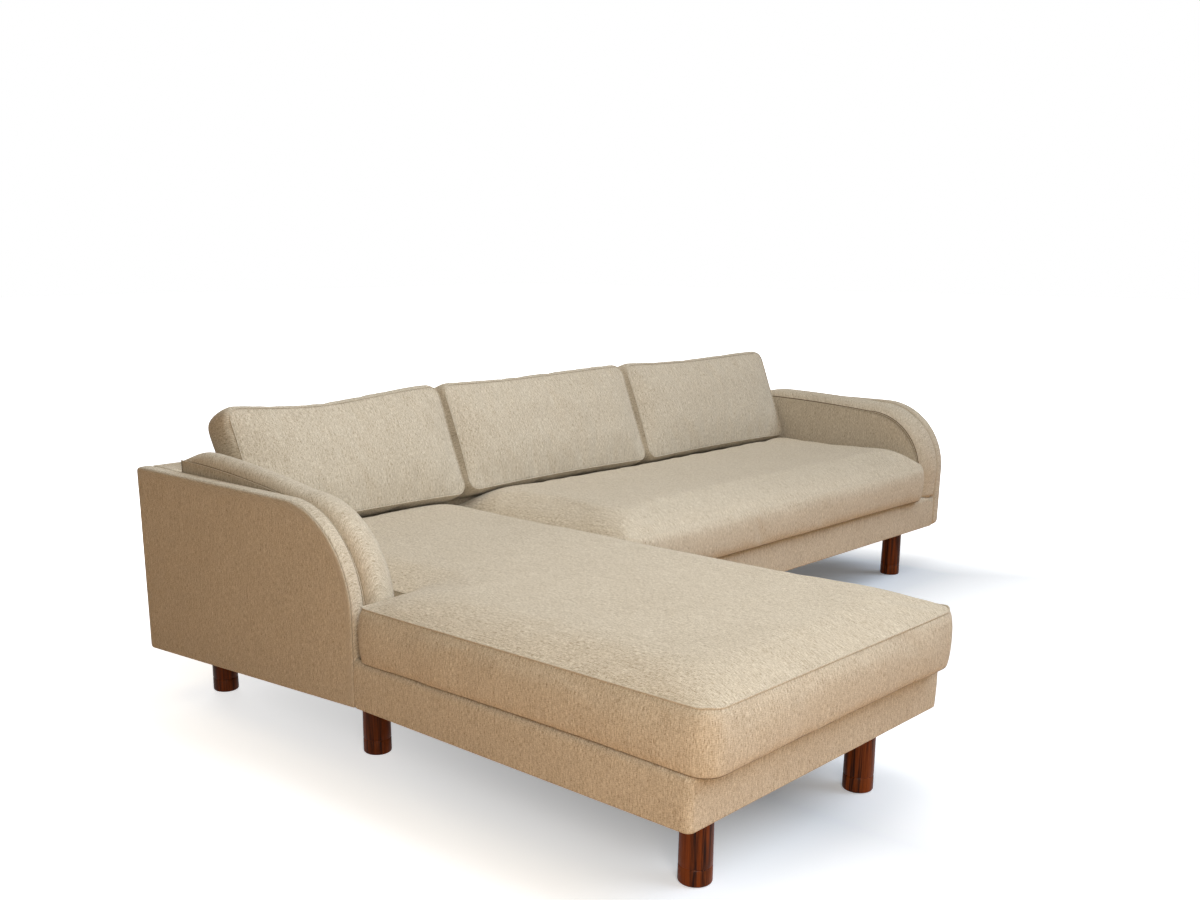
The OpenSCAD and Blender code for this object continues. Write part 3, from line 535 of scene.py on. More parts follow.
def dust_cover(module, legs, xs, ys, corners, away):
    """A flat cut with a round hole for each leg. The hole's square edge is moved out
    to a circle, and the cloth sags by up to 3 mm in long soft waves."""
    def nearest(axis, value):
        return int(np.argmin(abs(axis - value)))

    legs = list(legs.values())
    holes = [(x - hole_half, x + hole_half, y - hole_half, y + hole_half) for x, y in legs]
    missing = [(nearest(xs, x0), nearest(xs, x1), nearest(ys, y0), nearest(ys, y1))
               for x0, x1, y0, y1 in away + holes]
    plan, cells, outline = cut(xs, ys, [(nearest(xs, x), nearest(ys, y)) for x, y in corners], missing)
    sag = 0.0015 * (1 + np.sin(plan[:, 0] * 7) * np.sin(plan[:, 1] * 8))
    sag *= np.clip(from_outline(plan, outline) / 0.1, 0, 1)
    for leg in legs:
        offset = plan - np.array(leg)
        reach = np.linalg.norm(offset, axis=1)
        rim = (np.max(abs(offset), 1) < hole_half + 1e-5) & (reach > 1e-6)
        plan[rim] = np.array(leg) + offset[rim] / reach[rim][:, None] * hole_radius
        sag *= np.clip((reach - hole_radius) / 0.1, 0, 1)
    points = np.column_stack([plan, dust_level - sag])
    piece = sewn(f"{module}_dust_cloth", [(points, plan, cells)], f"{module}_module", bonded.material,
                 seams=False)
    wall = piece.modifiers.new("thickness", "SOLIDIFY")
    wall.thickness = 0.0008
    wall.offset = 0
    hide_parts(f"{module}_dust_cover")


chaise_legs = {"chaise_front_left_leg": (-1.22, -0.787), "chaise_front_right_leg": (-0.618, -0.787),
               "left_arm_front_leg": (-1.22, 0.165), "left_arm_rear_leg": (-1.22, 0.819),
               "chaise_rear_right_leg": (-0.618, 0.819)}
sofa_legs = {"sofa_front_left_leg": (-0.308, 0.148), "sofa_front_right_leg": (1.22, 0.148),
             "sofa_rear_left_leg": (-0.308, 0.819), "sofa_rear_right_leg": (1.22, 0.819)}
dust_left, dust_right, dust_beside_arm = -1.362, -0.4765, -1.331
dust_front, dust_rear = -0.872, 0.898
dust_cover("chaise", chaise_legs,
           np.unique(np.append(around([-1.22, -0.618], dust_left, dust_right), dust_beside_arm)),
           np.unique(np.append(around([-0.787, 0.165, 0.819], dust_front, dust_rear), arm_front)),
           [(dust_left, dust_front), (dust_right, dust_front), (dust_right, dust_rear),
            (dust_beside_arm, dust_rear), (dust_beside_arm, arm_front), (dust_left, arm_front)],
           [(dust_left, dust_beside_arm, arm_front, dust_rear)])
dust_left, dust_right, dust_front = -0.4495, 1.331, 0.063
dust_cover("sofa", sofa_legs, around([-0.308, 1.22], dust_left, dust_right),
           around([0.148, 0.819], dust_front, dust_rear),
           [(dust_left, dust_front), (dust_right, dust_front), (dust_right, dust_rear),
            (dust_left, dust_rear)], [])


# Legs and glides
# Solid walnut turned to 65 mm, 68 at the foot, with one fine ring, oiled to
# a soft gloss, each on a bolt through its block. A felt glide sits in the foot.
def turned(profile, steps, centres):
    """Panels of turned forms: a profile of (radius, height) pairs from pole to pole,
    carried round each centre."""
    turn = np.linspace(0, 2 * np.pi, steps + 1)
    radius, height = np.array(profile).T
    panels = []
    for centre_x, centre_y in centres:
        points = np.dstack([centre_x + np.outer(radius, np.cos(turn)),
                            centre_y + np.outer(radius, np.sin(turn)),
                            np.repeat(height[:, None], steps + 1, 1)])
        places = np.dstack([np.outer(radius * 0 + 0.0325, turn), points[..., 2]])
        panels.append(grid(points, places))
    return panels


def oiled_walnut():
    """Walnut: wide dark bands that sway along the grain, fine streaks, and pores."""
    walnut = Finish("oiled walnut")
    place = walnut.node("TexCoord", out=3)
    sway = walnut.noise(place, (16, 16, 2.6))
    growth = walnut.noise(place, (85, 85, 3.2), 4, (2, 5, 1))
    pores = walnut.noise(place, (1500, 1500, 45))
    fine = walnut.noise(place, (420, 420, 14), 3)
    bands = walnut.fitted(growth + sway * 0.6, 0.68, 0.9)
    colour = walnut.mixed(bands, (0.19, 0.042, 0.007), (0.022, 0.0048, 0.0016))
    colour = walnut.mixed(walnut.fitted(fine, 0.42, 0.72) * 0.55, colour, (0.25, 0.06, 0.011))
    colour = walnut.mixed(walnut.fitted(pores, 0.58, 0.72) * 0.6, colour, (0.012, 0.004, 0.003))
    return walnut.surface(colour, 0.3 + fine * 0.18, pores * -0.7 + fine * 0.5 + 0.5, 0.00015,
                          {"Specular IOR Level": 0.08, "Coat Weight": 0.04, "Coat Roughness": 0.2})


leg_top = 0.184
leg_r = 0.034
leg_taper = 0.0015
foot_round = 0.006
pocket_r, pocket_deep = 0.0173, 0.0043
bolt_r, bolt_end = 0.0043, 0.1417
foot_arc = [(leg_r - foot_round + foot_round * math.cos(a), foot_round + foot_round * math.sin(a))
            for a in np.radians(np.linspace(-90, 0, 9))]
leg_side = [(leg_r - leg_taper * z / leg_top - cut_in, z) for z, cut_in in (
    (0.0345, 0), (0.0354, 0.0004), (0.0364, 0.0013), (0.037, 0.0015), (0.0376, 0.0013), (0.0386, 0.0004),
    (0.0395, 0), (0.06, 0), (0.12, 0), (leg_top - 0.0006, 0), (leg_top, 0.0006))]
leg_profile = ([(0, pocket_deep), (pocket_r, pocket_deep), (pocket_r, 0.0004), (pocket_r + 0.0004, 0)]
               + foot_arc + leg_side + [(bolt_r, leg_top), (bolt_r, bolt_end), (0, bolt_end)])
walnut_finish = oiled_walnut()
for module, legs in (("chaise", chaise_legs), ("sofa", sofa_legs)):
    for leg_node, leg_at in legs.items():
        walnut_leg = sewn("walnut_" + leg_node, turned(leg_profile, 96, [leg_at]), f"{module}_module",
                          walnut_finish, seams=False)
        walnut_leg.data.set_sharp_from_angle(angle=math.radians(32))
        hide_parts(leg_node)

felt = Finish("grey wool felt")
felt_hair = felt.noise(felt.node("TexCoord", out=3), (1400, 1400, 1400), 4)
felt_colour = felt.mixed(felt.fitted(felt_hair, 0.35, 0.7), (0.07, 0.065, 0.06), (0.2, 0.19, 0.175))
felt.surface(felt_colour, 0.9 + felt_hair * 0.1, felt_hair, 0.0005)
glide_profile = [(0, 0), (0.0155, 0), (0.0166, 0.0004), (0.017, 0.0012), (0.017, 0.0032), (0.0166, 0.0038),
                 (0.0158, 0.004), (0, 0.004)]
for module, legs in (("chaise", chaise_legs), ("sofa", sofa_legs)):
    felt_glides = sewn(f"{module}_felt_glides", turned(glide_profile, 48, legs.values()), f"{module}_module",
                       felt.material, seams=False)
    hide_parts(f"{module}_glides")


# Base borders
# Both bases are wrapped in the sofa's own fabric over a thin layer of wadding:
# round the chaise in one length, and straight along the front of the bench.
def oatmeal_tweed():
    """Tweed: warp and weft yarns 1.5 mm wide that cross over and under, toned along
    their length by noise drawn out one way, with flecks, slubs and slow clouds. Its tone
    picks a colour; painted shade darkens the hollows between yarns and the seams' creases."""
    tweed = Finish("oatmeal tweed")
    yarn = 0.0015
    place = tweed.node("UVMap", {"uv_map": "cloth"})
    across, along = tweed.split(place)[:2]
    sway = tweed.noise(place, (45, 45, 1)) * 0.003
    stitch = tweed.node("Attribute", {"attribute_name": "stitch"}, out="Fac") ** 5
    warp = tweed.wave(across + sway, 2 * yarn)
    weft = tweed.wave(along + sway, 2 * yarn)
    over = tweed.fitted(warp * weft, -0.25, 0.25)
    warp_shade = tweed.noise(place, (720, 95, 1))
    weft_shade = tweed.noise(place, (170, 720, 1), 2, (5, 9, 2))
    flecks = tweed.noise(place, (850, 850, 1), 2, (3, 1, 4))
    slubs = tweed.noise(place, (360, 15, 1), 2, (4, 6, 1))
    clouds = tweed.noise(place, (30, 30, 1), 3, (8, 2, 6))
    drift = tweed.noise(place, (5, 5, 1), 2, (1, 7, 3))
    yarns = tweed.node("Mix", {"data_type": "FLOAT"}, {0: over, 2: weft_shade, 3: warp_shade})
    tone = yarns * 0.4 + warp_shade * 0.95 + weft_shade * 0.75 + flecks * 0.75
    tone = tone + slubs * 0.5 + clouds * 0.08 + drift * 0.08 - 1.235
    colour = tweed.node("ValToRGB", {"stops": [
        (0.08, (0.26, 0.195, 0.13)), (0.4, (0.47, 0.4, 0.3)), (0.56, (0.6, 0.525, 0.41)),
        (0.92, (0.78, 0.72, 0.61))]}, {0: tone})
    hollow = over * tweed.maths("ABSOLUTE", warp) + (1 - over) * tweed.maths("ABSOLUTE", weft)
    # Painted shade in the hollows between yarns.
    colour = tweed.mixed(tweed.fitted(hollow, 0.35, 0.0) * 0.3, colour, (0.24, 0.165, 0.1))
    # Painted shade: seam lines darkened a little for their stitching and mostly for the shade in their
    # creases and under cushion lips.
    colour = tweed.mixed(stitch * 0.9, colour, (0.1, 0.062, 0.032))
    return tweed.surface(colour, 0.86 + flecks * 0.1, hollow * 0.4 + tone * 0.35 - stitch, 0.0005,
                         {"Sheen Weight": 0.15, "Sheen Roughness": 0.35, "Specular IOR Level": 0.25})


fabric = oatmeal_tweed()


def dressed(piece, fill, *nodes):
    """Hides the CAD nodes that an upholstered piece replaces. Its fill is not used."""
    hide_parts(*nodes)


def arc(middle, radius, start, end, steps):
    """Points on a circle about middle between two angles in degrees."""
    turn = np.radians(np.linspace(start, end, steps))
    return np.stack([middle[0] + radius * np.cos(turn), middle[1] + radius * np.sin(turn)], -1)


def end_ease(ends, radius):
    """How far a section is drawn in, ends away from its end: a quarter circle."""
    return radius - np.sqrt(radius ** 2 - (radius - np.clip(ends, 0, radius)) ** 2)


border_h = 0.115
border_foot = 0.178
border_bulge = 0.0016
border_ease = 0.007


def border_section(ease):
    """The wadded border's section as (depth, height) pairs, drawn in by ease: out along
    its foot, round the lower edge, up the bowed face, round an upper edge 1.7 times as
    tall as it is deep, and straight down behind. The bow is a half sine over the height."""
    low, high, face = ease, border_h - ease, ease
    corner, upper_r = 0.006 - 0.5 * ease, 0.0115 - 0.9 * ease
    lower = arc((face + corner, low + corner), corner, 270, 180, 8)
    upper = arc((face + upper_r, high - upper_r), upper_r, 180, 90, 9)
    upper[:, 1] = high - 1.7 * (high - upper[:, 1])
    rise = np.linspace(low + corner, high - 1.7 * upper_r, 13)[1:-1]
    front = np.stack([np.full(11, face), rise], -1)
    outer = np.concatenate([[[border_t - 0.0001, low]], lower, front, upper, [[border_t, high]]])
    bow = border_bulge * np.sin(np.pi * np.clip(outer[:, 1] / border_h, 0, 1))
    outer[:, 0] -= bow * (outer[:, 0] < 0.011)
    inner = np.stack([np.full(len(outer), border_t + 0.0001), np.linspace(high, low, len(outer))], -1)
    return np.concatenate([outer, inner])


def border(path, normal):
    """Panels of a border carried along a path on its outer face. Over the last 7 mm
    at each end the section eases in along a quarter circle."""
    path, normal = np.array(path), np.array(normal)
    covered = run(path[None], 1)[0]
    ease = end_ease(np.minimum(covered, covered[-1] - covered), border_ease)
    section = np.array([border_section(e) for e in ease])
    loops = np.empty(section.shape[:2] + (3,))
    loops[..., :2] = path[:, None] - normal[:, None] * section[..., :1]
    loops[..., 2] = border_foot + section[..., 1]
    return [(points, places[:, ::-1], cells) for points, places, cells in hose(loops, (0, 2, 1))]


def eased(low, high, step):
    """Places from low to high: close together over the first and last 7 mm."""
    near = border_ease * (1 - np.cos(np.linspace(0, np.pi / 2, 7)))
    middle = np.linspace(low + border_ease, high - border_ease, max(3, round((high - low) / step)))
    return np.concatenate([low + near[:-1], middle, high - near[:-1][::-1]])


corner_r = 0.017
side_y = eased(chaise_front + corner_r - border_ease, arm_front - 0.0005, 0.012)[6:]
left_middle = (-arm_outside + corner_r, chaise_front + corner_r)
right_middle = (chaise_right - corner_r, chaise_front + corner_r)
front_x = np.linspace(left_middle[0], right_middle[0], 72)[1:-1]
border_path = np.concatenate([
    np.stack([np.full(len(side_y), -arm_outside), side_y[::-1]], -1),
    arc(left_middle, corner_r, 180, 270, 10)[1:],
    np.stack([front_x, np.full(len(front_x), chaise_front)], -1),
    arc(right_middle, corner_r, 270, 360, 10)[:-1],
    np.stack([np.full(len(side_y), chaise_right), side_y], -1)])
border_ahead = np.gradient(border_path, axis=0)
border_normal = unit(np.stack([border_ahead[:, 1], -border_ahead[:, 0]], -1))
dressed(sewn("chaise_base_wrap", border(border_path, border_normal), "chaise_module", fabric), 0.95,
        "chaise_front_border", "chaise_left_border", "chaise_right_border")
bench_x = eased(sofa_left + 0.0003, arm_inside - 0.0004, 0.012)
bench_path = np.stack([bench_x, np.full(len(bench_x), arm_front)], -1)
bench_normal = np.tile([0.0, -1.0], (len(bench_x), 1))
dressed(sewn("sofa_base_wrap", border(bench_path, bench_normal), "sofa_module", fabric), 0.95,
        "sofa_front_border")


# Arm covers
# Each plywood arm is covered in wadding and fabric: a flat panel on both faces
# and a 43 mm strip between, sewn to them with a fine seam along each edge.
def rounded(corners, radii, cuts, bend=7):
    """A closed outline from corners, each rounded to a radius by an arc of bend
    points, with its straight sides cut into equal steps."""
    corners = np.array(corners, float)
    radii = np.array(radii, float)[:, None]
    before = unit(np.roll(corners, 1, 0) - corners)
    after = unit(np.roll(corners, -1, 0) - corners)
    half = np.arccos(np.clip((before * after).sum(1), -1, 1))[:, None] / 2
    middle = corners + unit(before + after) * radii / np.sin(half)
    start = corners + before * radii / np.tan(half) - middle
    end = corners + after * radii / np.tan(half) - middle
    turn = (np.pi - 2 * half)[..., None]
    share = np.linspace(0, 1, bend)[None, :, None]
    bends = start[:, None] * np.sin((1 - share) * turn) + end[:, None] * np.sin(share * turn)
    bends = middle[:, None] + bends / np.sin(turn)
    sides = []
    for arc_here, arc_next, count in zip(bends, np.roll(bends, -1, 0), cuts):
        sides += [arc_here, np.linspace(arc_here[-1], arc_next[0], count + 1)[1:-1]]
    return np.concatenate(sides)


arm_t = 0.043
arm_top = 0.622
arm_rear = 0.93
arm_rear_foot = 0.13
arm_r = 0.235


def arm_outline(inset, foot_r):
    """The panel's outline in Y and Z, drawn in by inset: lower at the back than at the
    front, with a quarter circle of 235 mm at the top of the front and foot_r below."""
    front, rear, top = arm_front + inset, arm_rear - inset, arm_top - inset
    corners = [(front, border_foot + inset), (rear, arm_rear_foot + inset), (rear, top), (front, top)]
    radii = [max(foot_r - inset, 0.001), max(0.01 - inset, 0.001), max(0.012 - inset, 0.001), arm_r - inset]
    return np.roll(rounded(corners, radii, [62, 36, 44, 14], 25), -12, 0)


arm_half = [(0, 0.02), (0, 0.0075), (0.0004, 0.0045), (0.0013, 0.0022), (0.0026, 0.0008), (0.0034, 0.0005),
            (0.0039, 0.0019), (0.0045, 0.0024), (0.0051, 0.0019), (0.0057, 0.0004), (0.0085, -0.0004),
            (0.0215, -0.0012)]
arm_rows = arm_half + [(arm_t - across, inset) for across, inset in arm_half[-2::-1]]
for side, foot_r, arm_side, module in ((-1, 0.006, "left", "chaise"), (1, 0.022, "right", "sofa")):
    arm_loops = np.array([np.insert(arm_outline(inset, foot_r), 0, side * (arm_outside - across), axis=1)
                          for across, inset in arm_rows])
    arm_cloth = sewn(f"{arm_side}_arm_cloth", hose(arm_loops, (1, 2, 16)), f"{module}_module", fabric)
    arm_across = arm_outside - np.abs(placed_points(arm_cloth.data)[:, 0])
    # Painted shade darkens the strip's two seam grooves and the inner face's edge, where the bolster meets
    # it.
    strip_seams = np.abs(np.abs(arm_across - arm_t / 2) - 0.017) < 0.0007
    inner_edge = panel_points(arm_cloth.data, 0, 0) & (arm_across > arm_t - 0.0001)
    paint_seam_shade(arm_cloth.data, strip_seams | inner_edge)
    dressed(arm_cloth, 0.95, f"{arm_side}_arm_cover")


# Arm bolsters
# A soft foam and fibre roll sits inside each arm panel: up from the inside back,
# along the arm, round its front and down to the deck, with a welt on each side.
def bead(path, outward, radius, closed=True, sides=8):
    """A panel for a fine welt: a circle carried along a path, its spokes turning from
    the outward direction towards the side."""
    ahead = unit(np.roll(path, -1, 0) - np.roll(path, 1, 0) if closed else np.gradient(path, axis=0))
    outward = unit(outward - (outward * ahead).sum(1)[:, None] * ahead)
    aside = np.cross(ahead, outward)
    turn = np.linspace(0, 2 * np.pi, sides + 1)[:, None, None]
    reach = np.full(len(path), radius)
    if not closed:
        reach[[0, -1]] = 0
    points = path + (np.cos(turn) * outward + np.sin(turn) * aside) * reach[:, None]
    if closed:
        points = np.concatenate([points, points[:, :1]], 1)
    places = np.stack([run(points, 1), turn[..., 0] * radius + points[..., 0] * 0], -1)
    return grid(points, places)


bolster_w = 0.097
bolster_middle = 1.2834
bolster_half = 0.0484
bolster_rear = 0.778
bolster_nose = 0.110
seat_foot = 0.2933
seat_seam = 0.4153
seat_rear = 0.7402


def dome(u):
    """Share of the way from the seams to the crown: (1 - |2u - 1|^2.4)^0.7."""
    return (1 - np.abs(2 * u - 1) ** 2.4) ** 0.7


def bolster_loops(seam_rise, rear_crown, front_crown, u):
    """Loops for each share u of the way from the panel to the seat: along the deck,
    up the inside back, over the rounded rear end, along the arm, round the front
    curve and down. The seams lie below or above the panel's outline, by amounts
    that blend from the rear to the front, and the crown stands over both."""
    def part(y, z):
        return np.stack(np.broadcast_arrays(y, z), -1)

    bend_y, bend_z = arm_front + arm_r, arm_top - arm_r
    u = np.asarray(u)[:, None]
    over = -(0.012 + 0.021 * u) + front_crown * dome(u)
    forty = np.linspace(0, 1, 40, endpoint=False)[None]
    eight = np.linspace(0, 1, 8, endpoint=False)[None]
    front_low = arm_front - over - 0.005
    foot = part(front_low + (seat_rear - front_low) * forty, seat_foot)
    rear = part(seat_rear + 0 * u, seat_foot + (seat_seam - seat_foot) * eight)
    leaning = part(seat_rear + 0.0378 * eight + 0 * u, seat_seam + 0.0937 * eight)
    nose = bolster_nose / (bolster_rear - bend_y)
    along = np.concatenate([nose * np.linspace(0, 1, 14, endpoint=False) ** 2,
                            np.linspace(nose, 1, 30, endpoint=False)])[None]
    y = bolster_rear + (bend_y - bolster_rear) * along
    cap = (1 - (1 - np.clip((bolster_rear - y) / bolster_nose, 0, 1)) ** 2) ** 0.75
    rear_over = seam_rise * (1 - u) - 0.010 * u + rear_crown * dome(u) * cap
    blend = along ** 1.8
    top = part(y, arm_top + rear_over * (1 - blend) + over * blend)
    angle = np.pi / 2 * (1 + forty)
    radius = arm_r + over + 0.010 * forty
    curve = part(bend_y + radius * np.cos(angle), bend_z + radius * np.sin(angle))
    drop = part(arm_front - over - 0.010 * (1 - eight / 2), bend_z + (seat_foot - bend_z) * eight)
    return np.concatenate([foot, rear, leaning, top, curve, drop], 1)


bolster_u = (1 - np.cos(np.pi * np.linspace(0, 1, 25))) / 2
for side, seam_rise, rear_crown, front_crown, welt_r, shade_width, arm_side, module in (
        (-1, 0.028, 0.046, 0.032, 0.0019, 0.0008, "left", "chaise"),
        (1, 0.002, 0.022, 0.017, 0.0012, 0.0032, "right", "sofa")):
    section = bolster_loops(seam_rise, rear_crown, front_crown, bolster_u)
    across = side * (arm_inside - 0.0002 - (bolster_w - 0.0002) * bolster_u)
    loops = np.concatenate([np.broadcast_to(across[:, None, None], section.shape[:2] + (1,)), section], -1)
    welts = []
    for row, lean_x in ((0, side), (-1, -side)):
        seam = loops[row, 56:]
        outward = np.insert(unit(seam[:, 1:] - (0.35, 0.38)), 0, lean_x * 0.5, axis=1)
        welts.append(bead(seam + np.array([-lean_x * 0.0006, 0, 0]), outward, welt_r, closed=False))
    roll = sewn(f"{arm_side}_arm_bolster_roll", hose(loops, (1, 2, 14)) + welts, f"{module}_module", fabric)
    off_middle = np.abs(np.abs(placed_points(roll.data)[:, 0]) - bolster_middle)
    # Painted shade darkens both seams and a narrow band of the roll beside each, wider on the right arm.
    shade_band = panel_points(roll.data, 0, 0) & (np.abs(off_middle - bolster_half) < shade_width)
    paint_seam_shade(roll.data, seam_points(roll.data) | shade_band)
    dressed(roll, 0.85, f"{arm_side}_arm_bolster")


# Inside and outside backs
# A padded wedge leans on each module's back board behind the cushions, and a
# fabric cover wraps the board behind from the top to below the base.
def inside_section(inset):
    """The wedge's section in Y and Z: it leans from the seat's seam up to its soft top."""
    front, rear = seat_rear + 0.0003 + inset, board_front - inset
    foot, top = seat_foot + 0.0001 + inset, arm_top - inset
    corners = [(front, foot), (rear, foot), (rear, top), (wedge_top + inset, top),
               (front, seat_seam + inset / 2)]
    return rounded(corners, [0.004, 0.003, 0.006, 0.022, 0.05], [11, 20, 5, 12, 6], 9)


def outside_section(inset):
    """The cover's section in Y and Z: over the board's top, down the back and under
    its foot, then back inside it, 12 mm thick."""
    front, rear, foot, top = board_front + inset, arm_rear - inset, arm_rear_foot + inset, arm_top - inset
    outer = np.concatenate([
        [[front, foot]], np.linspace((0.905, foot), (0.917, foot), 3)[:-1],
        arc((rear - 0.012, foot + 0.012), 0.012, 270, 360, 9),
        np.linspace((rear, 0.155), (rear, 0.597), 32),
        arc((rear - 0.012, top - 0.012), 0.012, 0, 90, 9), [[0.905, top], [front, top]]])
    turn_low = len(outer) // 8
    behind, low, high = 0.9178, 0.1418, 0.6102
    inner_low = np.linspace((front, low), (behind, low), turn_low)
    inner_high = np.linspace((behind, high), (front, high), turn_low)
    middle = np.linspace((behind, low), (behind, high), len(outer) - 2 * turn_low + 2)[1:-1]
    return np.concatenate([outer, np.concatenate([inner_low, middle, inner_high])[::-1]])


wedge_top = 0.824
for back, back_section, steps in (("inside_back", inside_section, 6), ("outside_back", outside_section, 1)):
    for module, low_x, high_x in (("chaise", -arm_inside + 0.0002, chaise_right),
                                  ("sofa", sofa_left, arm_inside - 0.0002)):
        stations = eased(low_x, high_x, 0.014)
        ease = end_ease(np.minimum(stations - low_x, high_x - stations), 0.004)
        loops = np.array([np.insert(back_section(e), 0, x, axis=1) for x, e in zip(stations, ease)])
        back_cloth = sewn(f"{module}_{back}_cloth", hose(loops, (1, 2, steps)), f"{module}_module", fabric)
        dressed(back_cloth, 0.9, f"{module}_{back}")

# Chaise cushion
# One long loose cushion of foam in a fibre wrap, boxed, with a fine welt round
# its top. It steps in beside the left arm and hangs 45 mm over the base's front.
def ripple(points, size, seed):
    """Smooth noise about as wide as size, mostly between -1 and 1: sixteen sine waves
    in seeded directions, added up."""
    dice = np.random.default_rng(seed)
    waves = dice.normal(size=(16, points.shape[1]))
    waves *= (2 * np.pi / size * dice.uniform(0.6, 1.5, 16) / np.linalg.norm(waves, axis=1))[:, None]
    return np.sin(points @ waves.T + dice.uniform(0, 2 * np.pi, 16)).sum(1) / 4


def seat_rise(distance):
    """Share of the crown at a distance inside an edge: 1 - (1 - d/165 mm)^2.6."""
    return 1 - (1 - np.clip(distance / 0.165, 0, 1)) ** 2.6


def settled(piece, pressure, slack, limit, hold=1.0):
    """Lets the filling swell the cloth between its seams: a cloth simulation of twenty
    frames without gravity, the cloth cut a little full. The seams are held by the
    share given, the underside and the welt fully. No point moves beyond limit."""
    mesh = piece.data
    points = placed_points(mesh)
    held = piece.vertex_groups.new(name="held")
    held.add(np.flatnonzero(seam_points(mesh)).tolist(), hold, "REPLACE")
    held.add(np.flatnonzero(panel_points(mesh, 2, 9)).tolist(), 1.0, "REPLACE")
    cloth = piece.modifiers.new("cloth", "CLOTH")
    cloth.settings.quality = 5
    cloth.settings.mass = 0.3
    cloth.settings.tension_stiffness = 25
    cloth.settings.compression_stiffness = 25
    cloth.settings.shear_stiffness = 10
    cloth.settings.bending_stiffness = 2
    cloth.settings.use_pressure = True
    cloth.settings.uniform_pressure_force = pressure
    cloth.settings.shrink_min = -slack
    cloth.settings.vertex_group_mass = "held"
    cloth.settings.effector_weights.gravity = 0
    cloth.collision_settings.use_collision = False
    for frame_number in range(1, 21):
        bpy.context.scene.frame_set(frame_number)
    shown = piece.evaluated_get(bpy.context.evaluated_depsgraph_get())
    moved = placed_points(shown.data) - points
    far = np.linalg.norm(moved, axis=1)[:, None]
    piece.modifiers.remove(cloth)
    piece.vertex_groups.remove(held)
    points += moved * np.minimum(1, limit / np.maximum(far, 1e-9))
    mesh.vertices.foreach_set("co", points.ravel())
    mesh.update()
    bpy.context.scene.frame_set(1)


def finished(piece, fill, node):
    """Fine smooth cloth: one subdivision, and the CAD node it replaces hidden."""
    smooth = piece.modifiers.new("smooth", "SUBSURF")
    smooth.levels = 1
    smooth.render_levels = 1
    dressed(piece, fill, node)


seat_profile = [(0.0, 1.0), (0.0032, 0.968), (0.0062, 0.915), (0.009, 0.83), (0.011, 0.7), (0.012, 0.54),
                (0.0119, 0.38), (0.011, 0.23), (0.0095, 0.11), (0.0076, 0.025), (0.0058, -0.022),
                (0.0042, -0.034), (0.0024, -0.02), (-0.001, -0.003), (-0.006, 0.0)]


def seat_top(points, distances, crown, seed):
    """Heights of a seat cushion's top: the crown times the rise at each edge's
    distance, all multiplied, fading in over the last 9 mm, with soft uneven fullness."""
    share = np.prod([seat_rise(d + 0.010) for d in distances], 0)
    near = np.clip(np.min(distances, 0) / 0.009, 0, 1)
    uneven = 0.001 * ripple(points, 0.45, seed) + 0.0003 * ripple(points, 0.13, seed + 1)
    return seat_seam + (crown + uneven) * share * near


def seam_welt(seam, radius):
    """A welt along a closed seam, standing out from the middle of its loop and up."""
    ahead = np.roll(seam, -1, 0) - np.roll(seam, 1, 0)
    out = unit(np.stack([ahead[:, 1], -ahead[:, 0], 0 * ahead[:, 2]], -1))
    return bead(seam + out * 0.001 + np.array([0, 0, 0.0005]), out + np.array([0, 0, 0.6]), radius)


def edge_gaps(plan, low, high):
    """Distances of a plan's points from its left, right, front and rear edge."""
    x, y = plan.T
    return [x - low[0], high[0] - x, y - low[1], high[1] - y]


def seat_cushion(name, node, body, shape, gaps, crown, seed, profile, fullness, welt_r, stitch, slack, hold):
    """Sews a seat cushion and lets it settle: the share after welt_r is how much painted
    shade darkens its seam, slack how much too wide its cloth is cut, and hold how firmly its seams are held."""
    plan, cells, outline = shape
    top = seat_top(plan, gaps, crown, seed)
    panels = boxed(shape, top, seat_foot, profile, fullness)
    if welt_r:
        panels.append(seam_welt(np.column_stack([plan, top])[outline], welt_r))
    pad = sewn(name, panels, body, fabric)
    # Painted shade: the seam darkened by that share, and fully the lip where the border turns under, for the
    # shadow in the crease over the base.
    lip = placed_points(pad.data)[:, 2] < seat_foot - 0.002
    paint_seam_shade(pad.data, np.maximum(seam_points(pad.data) * stitch, lip))
    settled(pad, 1.5, slack, 0.005, hold)
    finished(pad, 0.85, node)


chaise_low, chaise_high, notch = (-1.369, -0.918), (-0.4765, 0.727), (-1.2215, 0.0235)
chaise_shape = cut(
    lines((chaise_low[0], 0), (notch[0], 11), (chaise_high[0], 56)),
    lines((chaise_low[1], 0), (notch[1], 70), (chaise_high[1], 52)),
    [(0, 0), (67, 0), (67, 122), (11, 122), (11, 70), (0, 70)], [(0, 11, 70, 122)],
    [(*chaise_low, -1, -1, 0.036), (chaise_high[0], chaise_low[1], 1, -1, 0.05),
     (*chaise_high, 1, 1, 0.035), (notch[0], chaise_high[1], -1, 1, 0.035),
     (chaise_low[0], notch[1], -1, 1, 0.012)])
chaise_plan = chaise_shape[0]
notch_gap = np.hypot(np.maximum(0, chaise_plan[:, 0] - notch[0]), np.maximum(0, notch[1] - chaise_plan[:, 1]))
chaise_edge = chaise_plan[chaise_shape[2]]
shared_side = (np.clip((chaise_edge[:, 0] - chaise_high[0] + 0.03) / 0.02, 0, 1)
               * np.clip((chaise_edge[:, 1] + 0.03) / 0.03, 0, 1))
chaise_fullness = (1 + 0.12 * np.clip(ripple(chaise_edge, 0.2, 5), -1, 1)) * (1 - 0.5 * shared_side)
seat_cushion("chaise_seat_cushion", "chaise_cushion", "chaise_seat", chaise_shape,
             edge_gaps(chaise_plan, chaise_low, chaise_high) + [notch_gap], 0.037, 11, seat_profile,
             chaise_fullness, 0.0023, 0.4, 0.002, 1.0)

